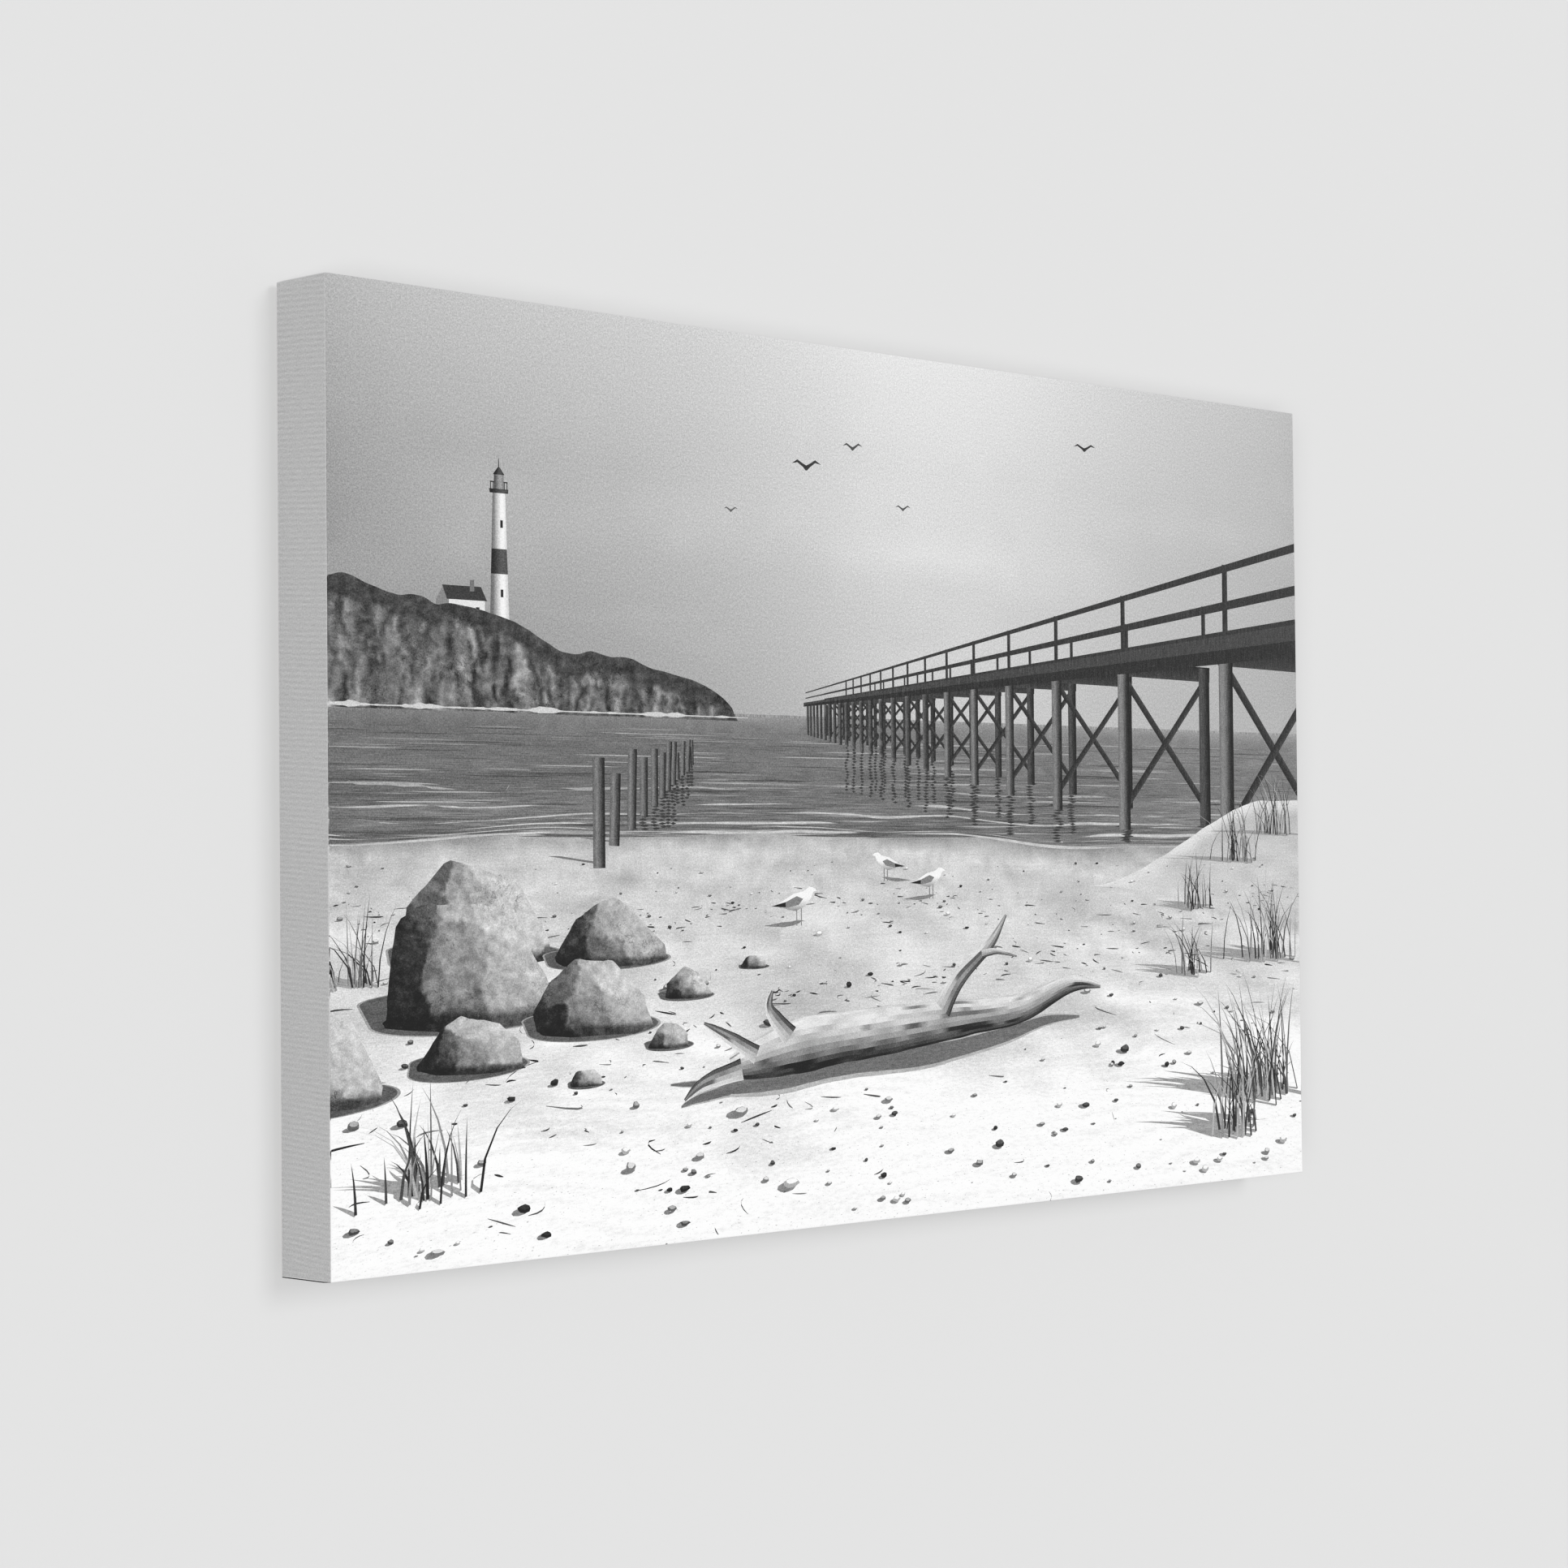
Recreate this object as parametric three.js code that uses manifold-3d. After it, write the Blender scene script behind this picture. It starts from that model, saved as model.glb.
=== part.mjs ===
// Stretched canvas print: a printed cloth pulled round a keyed pine stretcher frame with a centre
// brace, hung on a wall by two strap hangers with D rings, with rubber bumpers at its foot.
// Millimetres, +Z up. The printed face looks along -Y and the wall is the plane y = 0, with the
// origin on the wall behind the middle of the picture. Left and right are as seen from in front.
import * as THREE from "three";
import { mergeVertices } from "three/addons/utils/BufferGeometryUtils.js";
import Module from "manifold-3d";

const wasm = await Module();
wasm.setup();

// Driving dimensions of the finished canvas
const canvasWidth = 800;
const canvasHeight = 500;
const canvasDepth = 40;
const clothThickness = 0.5;
const flapWidth = 30;
const clothEdgeRound = 1.2;
const fitGap = 0.3;

// Bumpers hold the foot off the wall
const bumperHeight = 5;
const bumperRadius = 6;
const bumperTopRadius = 4.8;
const bumperInset = 15;

// Places through the depth, from the wall (y = 0) towards the viewer
const clothBackY = -bumperHeight - fitGap;
const clothFrontY = clothBackY - canvasDepth;
const barBackY = clothBackY - clothThickness - fitGap;
const barFrontY = clothFrontY + clothThickness + fitGap;

// Stretcher bars: four layers through the depth, mitred, tongue, slot, mitred
const barWidth = 40;
const frameWidth = canvasWidth - 2 * (clothThickness + fitGap);
const frameHeight = canvasHeight - 2 * (clothThickness + fitGap);
const lipWidth = 7;
const lipRound = 1.2;
const frontSlope = 4;
const backChamfer = 1;
const mitreGap = 0.25;
const firstLayerY = barFrontY + 12.4;
const secondLayerY = firstLayerY + 6.5;
const thirdLayerY = secondLayerY + 6.5;
const cutOver = 1;

// Corner keys, driven in beside each tongue
const keySlot = 8;
const keyDepthInBar = 25;
const keyStandOut = 16;
const keyTipWidth = 1.6;
const keyMouthWidth = keySlot - 2 * fitGap;

// Centre brace with a tenon at each end
const braceWidth = 40;
const braceFrontY = secondLayerY - 1.4;
const braceBackY = barBackY - 1;
const tenonLength = 20;
const tenonHalfWidth = 14;

// Strap hangers and their D rings, which lean a few degrees onto the cloth as they do when hung
const hangerX = canvasWidth / 2 - 20;
const pivotZ = 150;
const strapWidth = 11;
const strapThickness = 1.6;
const strapLength = 34;
const strapFrontY = clothBackY + fitGap;
const wireRadius = 1.1;
const loopBore = 1.35;
const loopRadius = 2.1;
const pivotY = strapFrontY + loopRadius;
const ringHalfWidth = 8;
const ringHeight = 14.6;
const ringCornerRadius = 6.5;
const ringLean = 3.5;
const screwBelowPivot = [8, 24];
const screwRadius = 1.7;
const screwTipRadius = 0.9;
const screwHoleRadius = screwRadius + fitGap;
const screwLength = 14;
const screwHeadRadius = 3.5;
const screwHeadTopRadius = 2.5;
const screwHeadHeight = 1.9;
const screwHoleDepth = screwLength + 2;

// Sides of the rounds, and steps along the ring and the strap's foot
const roundSides = 24;
const holeSides = 16;
const wireSides = 12;
const ringSteps = 28;
const footSteps = 8;

// Finishes: [colour, roughness, metalness]
const finishes = {
  cloth: [0xd8d8d6, 0.85, 0],
  pine: [0xd9b98a, 0.65, 0],
  beech: [0xc79f6f, 0.6, 0],
  steel: [0xb9bbbd, 0.35, 1],
  rubber: [0x242424, 0.8, 0],
};

// A closed three.js geometry as a solid that can be joined and cut
function toSolid(geometry) {
  const bare = geometry.clone();
  bare.deleteAttribute("normal");
  bare.deleteAttribute("uv");
  const merged = mergeVertices(bare, 1e-4);
  return new wasm.Manifold(new wasm.Mesh({
    numProp: 3,
    vertProperties: merged.attributes.position.array,
    triVerts: new Uint32Array(merged.index.array),
  }));
}

// A solid back to a three.js geometry
function toGeometry(solid) {
  const mesh = solid.getMesh();
  const geometry = new THREE.BufferGeometry();
  geometry.setAttribute("position", new THREE.BufferAttribute(mesh.vertProperties, 3));
  geometry.setIndex(new THREE.BufferAttribute(mesh.triVerts, 1));
  geometry.computeVertexNormals();
  return geometry;
}

function shapeOf(points) {
  return new THREE.Shape(points.map(([a, b]) => new THREE.Vector2(a, b)));
}

// A block between two corners
function block(low, high) {
  const [x, y, z] = high.map((value, axis) => value - low[axis]);
  const geometry = new THREE.BoxGeometry(x, y, z);
  geometry.translate(...high.map((value, axis) => (value + low[axis]) / 2));
  return toSolid(geometry);
}

// An (x, z) outline carried through the depth from frontY to backY
function plate(outline, frontY, backY) {
  const geometry = new THREE.ExtrudeGeometry(shapeOf(outline), {
    depth: backY - frontY,
    bevelEnabled: false,
  });
  geometry.rotateX(Math.PI / 2);
  geometry.translate(0, backY, 0);
  return toSolid(geometry);
}

// A round post along the depth, centred on (x, z)
function postAlongY(x, z, frontRadius, backRadius, frontY, backY, sides) {
  const geometry = new THREE.CylinderGeometry(backRadius, frontRadius, backY - frontY, sides);
  geometry.translate(x, (frontY + backY) / 2, z);
  return toSolid(geometry);
}

// A round bar along x, centred on (y, z)
function barAlongX(length, radius, y, z) {
  const geometry = new THREE.CylinderGeometry(radius, radius, length, holeSides);
  geometry.rotateZ(Math.PI / 2);
  geometry.translate(0, y, z);
  return toSolid(geometry);
}

// A named mesh in one of the finishes
function named(name, finish, geometry) {
  const [color, roughness, metalness] = finishes[finish];
  const material = new THREE.MeshStandardMaterial({ color, roughness, metalness });
  const mesh = new THREE.Mesh(geometry, material);
  mesh.name = name;
  return mesh;
}

// The cloth as one sheet round the frame: a box with eased edges, hollow, and open at the back
// between the turned-over flaps, with a hole in the flap for each hanger screw
function clothShell() {
  const easedBox = (inset) => {
    const ease = clothEdgeRound - inset / 2;
    const halfX = canvasWidth / 2 - inset - ease;
    const halfZ = canvasHeight / 2 - inset - ease;
    const outline = shapeOf([[-halfX, -halfZ], [halfX, -halfZ], [halfX, halfZ], [-halfX, halfZ]]);
    const geometry = new THREE.ExtrudeGeometry(outline, {
      depth: canvasDepth - 2 * inset - 2 * ease,
      bevelSize: ease,
      bevelThickness: ease,
      bevelSegments: 3,
    });
    geometry.rotateX(Math.PI / 2);
    geometry.translate(0, clothBackY - inset - ease, 0);
    return toSolid(geometry);
  };
  const halfX = canvasWidth / 2 - flapWidth;
  const halfZ = canvasHeight / 2 - flapWidth;
  const middleY = (clothFrontY + clothBackY) / 2;
  let shell = easedBox(0).subtract(easedBox(clothThickness));
  shell = shell.subtract(block([-halfX, middleY, -halfZ], [halfX, clothBackY + cutOver, halfZ]));
  for (const side of [-1, 1]) {
    for (const below of screwBelowPivot) {
      shell = shell.subtract(postAlongY(side * hangerX, pivotZ - below, screwHoleRadius,
        screwHoleRadius, middleY, clothBackY + cutOver, holeSides));
    }
  }
  return toGeometry(shell);
}

// A stretcher bar, its length along x and its outer face at z = 0. The front slopes away from a lip,
// so that only the lip touches the cloth. The tongue lies in one layer and the slot for the other
// bar's tongue, with room for the key, in the other.
function stretcherBar(length, tongueIsFront, holes, hasMortise) {
  const profile = [
    [0, barBackY],
    [0, barFrontY + lipRound],
    [lipRound, barFrontY],
    [lipWidth, barFrontY],
    [barWidth, barFrontY + frontSlope],
    [barWidth, barBackY - backChamfer],
    [barWidth - backChamfer, barBackY],
  ];
  const geometry = new THREE.ExtrudeGeometry(shapeOf(profile), { depth: length, bevelEnabled: false });
  geometry.rotateY(Math.PI / 2);
  geometry.translate(-length / 2, 0, 0);
  let bar = toSolid(geometry);

  const [frontMitreEnd, slotFrom, slotTo, backMitreStart] = tongueIsFront
    ? [firstLayerY + fitGap, secondLayerY, thirdLayerY, thirdLayerY]
    : [firstLayerY, firstLayerY, secondLayerY + fitGap, thirdLayerY - fitGap];
  const far = length / 2 + cutOver;
  for (const end of [-1, 1]) {
    const mitre = [
      [end * (length / 2 - mitreGap + cutOver), cutOver],
      [end * (far + barWidth), cutOver],
      [end * (far + barWidth), -barWidth - cutOver],
      [end * (length / 2 - mitreGap - barWidth - cutOver), -barWidth - cutOver],
    ];
    const slotStart = length / 2 - barWidth - keySlot;
    const slot = [
      [end * slotStart, cutOver],
      [end * far, cutOver],
      [end * far, -barWidth - cutOver],
      [end * slotStart, -barWidth - cutOver],
    ];
    bar = bar.subtract(plate(mitre, barFrontY - cutOver, frontMitreEnd));
    bar = bar.subtract(plate(slot, slotFrom, slotTo));
    bar = bar.subtract(plate(mitre, backMitreStart, barBackY + cutOver));
  }
  if (hasMortise) {
    const half = tenonHalfWidth + fitGap;
    bar = bar.subtract(block([-half, secondLayerY, -barWidth - cutOver],
      [half, thirdLayerY, -barWidth + tenonLength + fitGap]));
  }
  for (const x of holes) {
    bar = bar.subtract(postAlongY(x, hangerX - frameWidth / 2, screwHoleRadius, screwHoleRadius,
      barBackY - screwHoleDepth, barBackY + cutOver, holeSides));
  }
  return toGeometry(bar);
}

// The four bars, each turned so that its outer face looks outwards
function stretcherBars() {
  const screwZ = screwBelowPivot.map((below) => pivotZ - below);
  // columns: name, length, turn about y, distance of the outer face, tongue in front, holes, mortise
  const table = [
    ["rail_top", frameWidth, 0, frameHeight / 2, true, [], true],
    ["rail_bottom", frameWidth, Math.PI, frameHeight / 2, true, [], true],
    ["stile_left", frameHeight, -Math.PI / 2, frameWidth / 2, false, screwZ, false],
    ["stile_right", frameHeight, Math.PI / 2, frameWidth / 2, false, screwZ.map((z) => -z), false],
  ];
  return table.map(([name, length, turn, out, tongueIsFront, holes, mortise]) => {
    const bar = named(name, "pine", stretcherBar(length, tongueIsFront, holes, mortise));
    bar.rotation.y = turn;
    bar.position.set(out * Math.sin(turn), 0, out * Math.cos(turn));
    return bar;
  });
}

// A wedge whose straight side lies along the other bar's tongue and whose tip is in the slot
function keyOutline(side) {
  const slope = (keyMouthWidth - keyTipWidth) / keyDepthInBar;
  const buttWidth = keyMouthWidth + slope * keyStandOut;
  const straight = -fitGap;
  return [
    [side * straight, keyDepthInBar],
    [side * straight, -keyStandOut],
    [side * (straight - buttWidth), -keyStandOut],
    [side * (straight - keyTipWidth), keyDepthInBar],
  ];
}

// Two wedges in each corner, one lying in the rail's slot and one in the stile's
function cornerKeys() {
  const insideX = frameWidth / 2 - barWidth;
  const insideZ = frameHeight / 2 - barWidth;
  const made = [];
  for (const [across, sideX] of [["left", -1], ["right", 1]]) {
    for (const [up, sideZ] of [["bottom", -1], ["top", 1]]) {
      // in the rail: the outline's length runs along z, and it lies in the rail's slot
      const inRail = keyOutline(sideX).map(([x, z]) => [sideX * insideX + x, sideZ * (insideZ + z)]);
      const railKey = plate(inRail, secondLayerY + fitGap, thirdLayerY - fitGap);
      made.push(named(`key_rail_${up}_${across}`, "beech", toGeometry(railKey)));
      // in the stile: the same wedge turned through a right angle, in the stile's slot
      const inStile = keyOutline(sideZ).map(([z, x]) => [sideX * (insideX + x), sideZ * insideZ + z]);
      const stileKey = plate(inStile, firstLayerY + fitGap, secondLayerY);
      made.push(named(`key_stile_${up}_${across}`, "beech", toGeometry(stileKey)));
    }
  }
  return made;
}

// An upright board with a tenon in each rail
function centreBrace() {
  const shoulderZ = frameHeight / 2 - barWidth - fitGap;
  const tenonZ = shoulderZ + tenonLength;
  const board = block([-braceWidth / 2, braceFrontY, -shoulderZ], [braceWidth / 2, braceBackY, shoulderZ]);
  const tenons = block([-tenonHalfWidth, secondLayerY + fitGap, -tenonZ],
    [tenonHalfWidth, thirdLayerY - fitGap, tenonZ]);
  return named("brace", "pine", toGeometry(board.add(tenons)));
}

// A folded steel strap with a rounded foot, curled round the D ring's straight side
function strap() {
  const half = strapWidth / 2;
  const foot = [];
  for (let i = 0; i <= footSteps; i += 1) {
    const angle = Math.PI + (Math.PI * i) / footSteps;
    foot.push([half * Math.cos(angle), half - strapLength + half * Math.sin(angle)]);
  }
  const outline = [...foot, [half, 0], [-half, 0]];
  let solid = plate(outline, strapFrontY, strapFrontY + strapThickness);
  solid = solid.add(barAlongX(strapWidth, loopRadius, pivotY, 0));
  solid = solid.subtract(barAlongX(strapWidth + 2 * cutOver, loopBore, pivotY, 0));
  for (const below of screwBelowPivot) {
    solid = solid.subtract(postAlongY(0, -below, screwHoleRadius, screwHoleRadius,
      strapFrontY - cutOver, strapFrontY + strapThickness + cutOver, holeSides));
  }
  return toGeometry(solid);
}

// A D of round wire about its straight side, which lies along x through the origin: up one leg,
// round a corner, across the top, round the other corner and down the other leg
function dRing() {
  const at = (x, z) => new THREE.Vector3(x, 0, z);
  const legTop = ringHeight - ringCornerRadius;
  const flatEnd = ringHalfWidth - ringCornerRadius;
  const path = new THREE.CurvePath();
  path.add(new THREE.LineCurve3(at(-ringHalfWidth, 0), at(-ringHalfWidth, legTop)));
  path.add(new THREE.QuadraticBezierCurve3(at(-ringHalfWidth, legTop), at(-ringHalfWidth, ringHeight),
    at(-flatEnd, ringHeight)));
  path.add(new THREE.LineCurve3(at(-flatEnd, ringHeight), at(flatEnd, ringHeight)));
  path.add(new THREE.QuadraticBezierCurve3(at(flatEnd, ringHeight), at(ringHalfWidth, ringHeight),
    at(ringHalfWidth, legTop)));
  path.add(new THREE.LineCurve3(at(ringHalfWidth, legTop), at(ringHalfWidth, 0)));
  const section = [];
  for (let i = 0; i < wireSides; i += 1) {
    const angle = (2 * Math.PI * i) / wireSides;
    section.push([wireRadius * Math.cos(angle), wireRadius * Math.sin(angle)]);
  }
  const bow = new THREE.ExtrudeGeometry(shapeOf(section), { steps: ringSteps, extrudePath: path });
  const straight = barAlongX(2 * (ringHalfWidth + wireRadius), wireRadius, 0, 0);
  return toGeometry(toSolid(bow).add(straight));
}

// A pan-head wood screw through the strap and the flap into the bar
function screw() {
  const headFront = strapFrontY + strapThickness + fitGap;
  const headBack = headFront + screwHeadHeight;
  const head = postAlongY(0, 0, screwHeadRadius, screwHeadTopRadius, headFront, headBack, roundSides);
  const shankFront = barBackY - screwLength;
  const shankBack = headFront + screwHeadHeight / 2;
  const shank = postAlongY(0, 0, screwTipRadius, screwRadius, shankFront, shankBack, holeSides);
  return toGeometry(head.add(shank));
}

// Each hanger is a group about the axis its ring swings on
function hangers() {
  const made = [];
  for (const [side, sign] of [["left", -1], ["right", 1]]) {
    const hanger = new THREE.Group();
    hanger.position.set(sign * hangerX, 0, pivotZ);
    hanger.add(named(`strap_${side}`, "steel", strap()));
    const ring = named(`ring_${side}`, "steel", dRing());
    ring.position.y = pivotY;
    ring.rotation.x = THREE.MathUtils.degToRad(ringLean);
    hanger.add(ring);
    screwBelowPivot.forEach((below, i) => {
      const fixing = named(`screw_${side}_${i + 1}`, "steel", screw());
      fixing.position.z = -below;
      hanger.add(fixing);
    });
    made.push(hanger);
  }
  return made;
}

// Tapered round pads at the two lower corners of the back
function bumpers() {
  return [["left", -1], ["right", 1]].map(([side, sign]) => {
    const pad = postAlongY(0, 0, bumperRadius, bumperTopRadius, -bumperHeight, 0, roundSides);
    const bumper = named(`bumper_${side}`, "rubber", toGeometry(pad));
    bumper.position.set(sign * (canvasWidth / 2 - bumperInset), 0, bumperInset - canvasHeight / 2);
    return bumper;
  });
}

const canvasPrint = new THREE.Group();
canvasPrint.name = "canvas_print";
canvasPrint.add(named("cloth", "cloth", clothShell()));
canvasPrint.add(...stretcherBars());
canvasPrint.add(...cornerKeys());
canvasPrint.add(centreBrace());
canvasPrint.add(...hangers());
canvasPrint.add(...bumpers());

export default canvasPrint;
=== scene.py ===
import math

import bpy
import numpy as np
from mathutils import Matrix, Vector
from mathutils.geometry import convex_hull_2d, delaunay_2d_cdt


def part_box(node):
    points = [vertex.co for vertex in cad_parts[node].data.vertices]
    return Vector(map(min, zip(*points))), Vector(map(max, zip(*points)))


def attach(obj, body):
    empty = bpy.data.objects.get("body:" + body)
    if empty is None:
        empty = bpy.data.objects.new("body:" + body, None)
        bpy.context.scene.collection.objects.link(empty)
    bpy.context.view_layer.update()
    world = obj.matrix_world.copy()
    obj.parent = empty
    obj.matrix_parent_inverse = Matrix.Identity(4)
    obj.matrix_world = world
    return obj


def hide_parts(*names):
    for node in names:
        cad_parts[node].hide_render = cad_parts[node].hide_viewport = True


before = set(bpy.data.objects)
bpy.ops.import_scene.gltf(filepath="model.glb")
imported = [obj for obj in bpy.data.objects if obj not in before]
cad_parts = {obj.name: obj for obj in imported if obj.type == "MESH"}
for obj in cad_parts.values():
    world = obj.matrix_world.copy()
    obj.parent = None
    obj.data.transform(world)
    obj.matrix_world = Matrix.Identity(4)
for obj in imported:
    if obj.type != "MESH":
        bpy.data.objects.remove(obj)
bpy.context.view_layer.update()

scene = bpy.context.scene
print("frame loaded:", len(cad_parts), "nodes")

clothLow, clothHigh = (np.array(corner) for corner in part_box("cloth"))
frontY, backY = clothLow[1], clothHigh[1]
halfWide, halfTall = clothHigh[0], clothHigh[2]


# Camera, from a fit to the six corners that show

photoCamera = {
    "eye": (-1.4478, -1.4043, -0.0496),
    "azimuth": 45.18,      # degrees from +Y towards +X
    "elevation": 1.46,     # degrees, looking up a little
    "roll": -0.53,
    "lens": 79.05,
    "sensor": 36.0,
}


def setCamera(look):
    az, el = math.radians(look["azimuth"]), math.radians(look["elevation"])
    forward = Vector((math.sin(az) * math.cos(el), math.cos(az) * math.cos(el), math.sin(el)))
    camera = bpy.data.objects.new("photoCamera", bpy.data.cameras.new("photoCamera"))
    scene.collection.objects.link(camera)
    camera.rotation_mode = "QUATERNION"
    level = forward.to_track_quat("-Z", "Y")
    camera.rotation_quaternion = level @ Matrix.Rotation(math.radians(look["roll"]), 3, "Z").to_quaternion()
    camera.location = look["eye"]
    camera.data.lens = look["lens"]
    camera.data.sensor_width = look["sensor"]
    camera.data.clip_start, camera.data.clip_end = 0.01, 100
    scene.camera = camera


setCamera(photoCamera)
print("camera set")


# Small helpers for meshes and node trees

# points is an N by 3 array in metres, faces a list or an array of corner numbers.
def putMesh(name, points, faces, body, smooth=True):
    mesh = bpy.data.meshes.new(name)
    mesh.from_pydata(points, [], faces)
    mesh.polygons.foreach_set("use_smooth", np.full(len(mesh.polygons), smooth))
    mesh.update()
    piece = bpy.data.objects.new(name, mesh)
    scene.collection.objects.link(piece)
    if body is not None:
        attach(piece, body)
    return piece


def addNode(tree, kind, feeds=None, **settings):
    made = tree.nodes.new(kind)
    for key, value in settings.items():
        setattr(made, key, value)
    for key, value in (feeds or {}).items():
        if isinstance(value, bpy.types.NodeSocket):
            tree.links.new(value, made.inputs[key])
        else:
            made.inputs[key].default_value = value
    return made


def calc(tree, operation, *values, clamp=False):
    feeds = dict(enumerate(values))
    return addNode(tree, "ShaderNodeMath", feeds, operation=operation, use_clamp=clamp).outputs[0]


def plus(tree, a, b, clamp=False):
    return calc(tree, "ADD", a, b, clamp=clamp)


def minus(tree, a, b):
    return calc(tree, "SUBTRACT", a, b)


def times(tree, a, b):
    return calc(tree, "MULTIPLY", a, b)


# How far a value is from one half, times strength.
def centred(tree, value, strength):
    return times(tree, minus(tree, value, 0.5), strength)


def splitAxes(tree, vector):
    return addNode(tree, "ShaderNodeSeparateXYZ", {0: vector}).outputs


def greyColour(tree, value):
    return addNode(tree, "ShaderNodeCombineColor", {0: value, 1: value, 2: value}).outputs[0]


def objectPlace(tree):
    return addNode(tree, "ShaderNodeTexCoord").outputs["Object"]


def noise(tree, vector, scale, detail=2.0, roughness=0.5):
    feeds = {"Vector": vector, "Scale": scale, "Detail": detail, "Roughness": roughness}
    return addNode(tree, "ShaderNodeTexNoise", feeds).outputs["Fac"]


def stretch(tree, vector, scale):
    return addNode(tree, "ShaderNodeMapping", {"Vector": vector, "Scale": scale}).outputs[0]


def ramp(tree, value, low, high, toLow=0.0, toHigh=1.0, smooth=False):
    feeds = {0: value, 1: low, 2: high, 3: toLow, 4: toHigh}
    kind = "SMOOTHSTEP" if smooth else "LINEAR"
    return addNode(tree, "ShaderNodeMapRange", feeds, interpolation_type=kind).outputs[0]


# A mix node's sockets for colours are the seventh and eighth in, and the third out.
def mixColour(tree, factor, a, b, blend="MIX"):
    feeds = {0: factor, 6: a, 7: b}
    return addNode(tree, "ShaderNodeMix", feeds, data_type="RGBA", blend_type=blend).outputs[2]


def addBump(tree, shader, height, strength, distance):
    feeds = {"Height": height, "Strength": strength, "Distance": distance}
    tree.links.new(addNode(tree, "ShaderNodeBump", feeds).outputs[0], shader.inputs["Normal"])


# A node group that takes a vector and one number. Returns it with both and with its output sockets.
def newGroup(name, number, default, results):
    group = bpy.data.node_groups.new(name, "ShaderNodeTree")
    face = group.interface
    face.new_socket("Vector", in_out="INPUT", socket_type="NodeSocketVector")
    face.new_socket(number, in_out="INPUT", socket_type="NodeSocketFloat").default_value = default
    for result in results:
        face.new_socket(result, in_out="OUTPUT", socket_type="NodeSocketFloat")
    source, target = group.nodes.new("NodeGroupInput"), group.nodes.new("NodeGroupOutput")
    return group, source.outputs["Vector"], source.outputs[number], target.inputs


# Returns the material, its tree and its Principled BSDF, with the plain values set on the sockets.
def newMaterial(name, roughness, metallic=0.0, **plain):
    material = bpy.data.materials.new(name)
    material.use_nodes = True
    tree = material.node_tree
    shader = tree.nodes["Principled BSDF"]
    shader.inputs["Roughness"].default_value = roughness
    shader.inputs["Metallic"].default_value = metallic
    for key, value in plain.items():
        shader.inputs[key].default_value = value
    return material, tree, shader


# The printed view: its own small world, seen from a beach

printedView = {
    "focal": 560.0,        # picture millimetres for one metre across at one metre away
    "eyeHeight": 1.6,
    "horizon": 38.0,       # millimetres above the picture's middle
    "sun": (0.58, -0.36, 0.73),   # towards the sun: across, away, up
    "seed": 11,
}
edgeRound = 0.0007
pictureHalf = np.array([halfWide - edgeRound, halfTall - edgeRound]) * 1000
rng = np.random.default_rng(printedView["seed"])
inks = []
finePoints = []


# Value noise: a random number at each whole x and y, eased between them by 3t^2 - 2t^3.
def lattice(x, y, seed=0):
    x, y = np.asarray(x, float), np.asarray(y, float)
    wholeX, wholeY = np.floor(x).astype(np.int64), np.floor(y).astype(np.int64)
    partX, partY = x - wholeX, y - wholeY
    partX, partY = partX**2 * (3 - 2 * partX), partY**2 * (3 - 2 * partY)

    def at(a, b):
        mixed = (a * 374761393 + b * 668265263 + seed * 974634777) & 0xFFFFFFFF
        mixed = ((mixed ^ (mixed >> 13)) * 1274126177) & 0xFFFFFFFF
        return ((mixed ^ (mixed >> 16)) & 0xFFFF) / 65535

    low = at(wholeX, wholeY) * (1 - partX) + at(wholeX + 1, wholeY) * partX
    high = at(wholeX, wholeY + 1) * (1 - partX) + at(wholeX + 1, wholeY + 1) * partX
    return low * (1 - partY) + high * partY


# Lattice noise summed over octaves, each twice as fine and half as strong, about 0 to 1.
def fractal(x, y, octaves=4, seed=0):
    total = sum(lattice(x * 2**i, y * 2**i, seed + i) / 2**i for i in range(octaves))
    return total / (2 - 2 ** (1 - octaves))


# Smooth step from 0 at start to 1 at end: 3t^2 - 2t^3.
def ease(value, start, end):
    part = np.clip((value - start) / (end - start), 0, 1)
    return part**2 * (3 - 2 * part)


# Perspective: picture millimetres for metres across, away and up from the sand.
def place(across, away, up=0.0):
    scale = printedView["focal"] / np.asarray(away, float)
    right = scale * across
    return np.stack([right, printedView["horizon"] + scale * (up - printedView["eyeHeight"]) + 0 * right], -1)


# The way back: metres across and away of the sand or water at a picture point.
def groundAt(u, v):
    away = printedView["focal"] * printedView["eyeHeight"] / np.maximum(printedView["horizon"] - v, 2)
    return u * away / printedView["focal"], away


# Cuts a closed outline to the rectangle, one edge after the other.
def clipTo(points, half):
    for axis in (0, 1):
        for sign in (1, -1):
            if len(points) == 0:
                return points
            reach = half[axis] - sign * points[:, axis]
            following, nextReach = np.roll(points, -1, axis=0), np.roll(reach, -1)
            kept = []
            for a, b, ra, rb in zip(points, following, reach, nextReach):
                if ra >= 0:
                    kept.append(a)
                if (ra >= 0) != (rb >= 0):
                    kept.append(a + (b - a) * ra / (ra - rb))
            points = np.array(kept).reshape(-1, 2)
    return points


# The outline of what lies between two lines that run the same way.
def between(one, other):
    return np.vstack([one, other[::-1]])


def oblong(left, right, foot, top):
    return [(left, foot), (right, foot), (right, top), (left, top)]


# One printed shape over those before it. tone is 0 to 1, or a function of u and v.
def ink(outline, tone, kind="plain"):
    outline = clipTo(np.asarray(outline, float), pictureHalf)
    if len(outline) >= 3:
        inks.append({"outline": outline, "tone": tone, "kind": kind})


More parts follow.
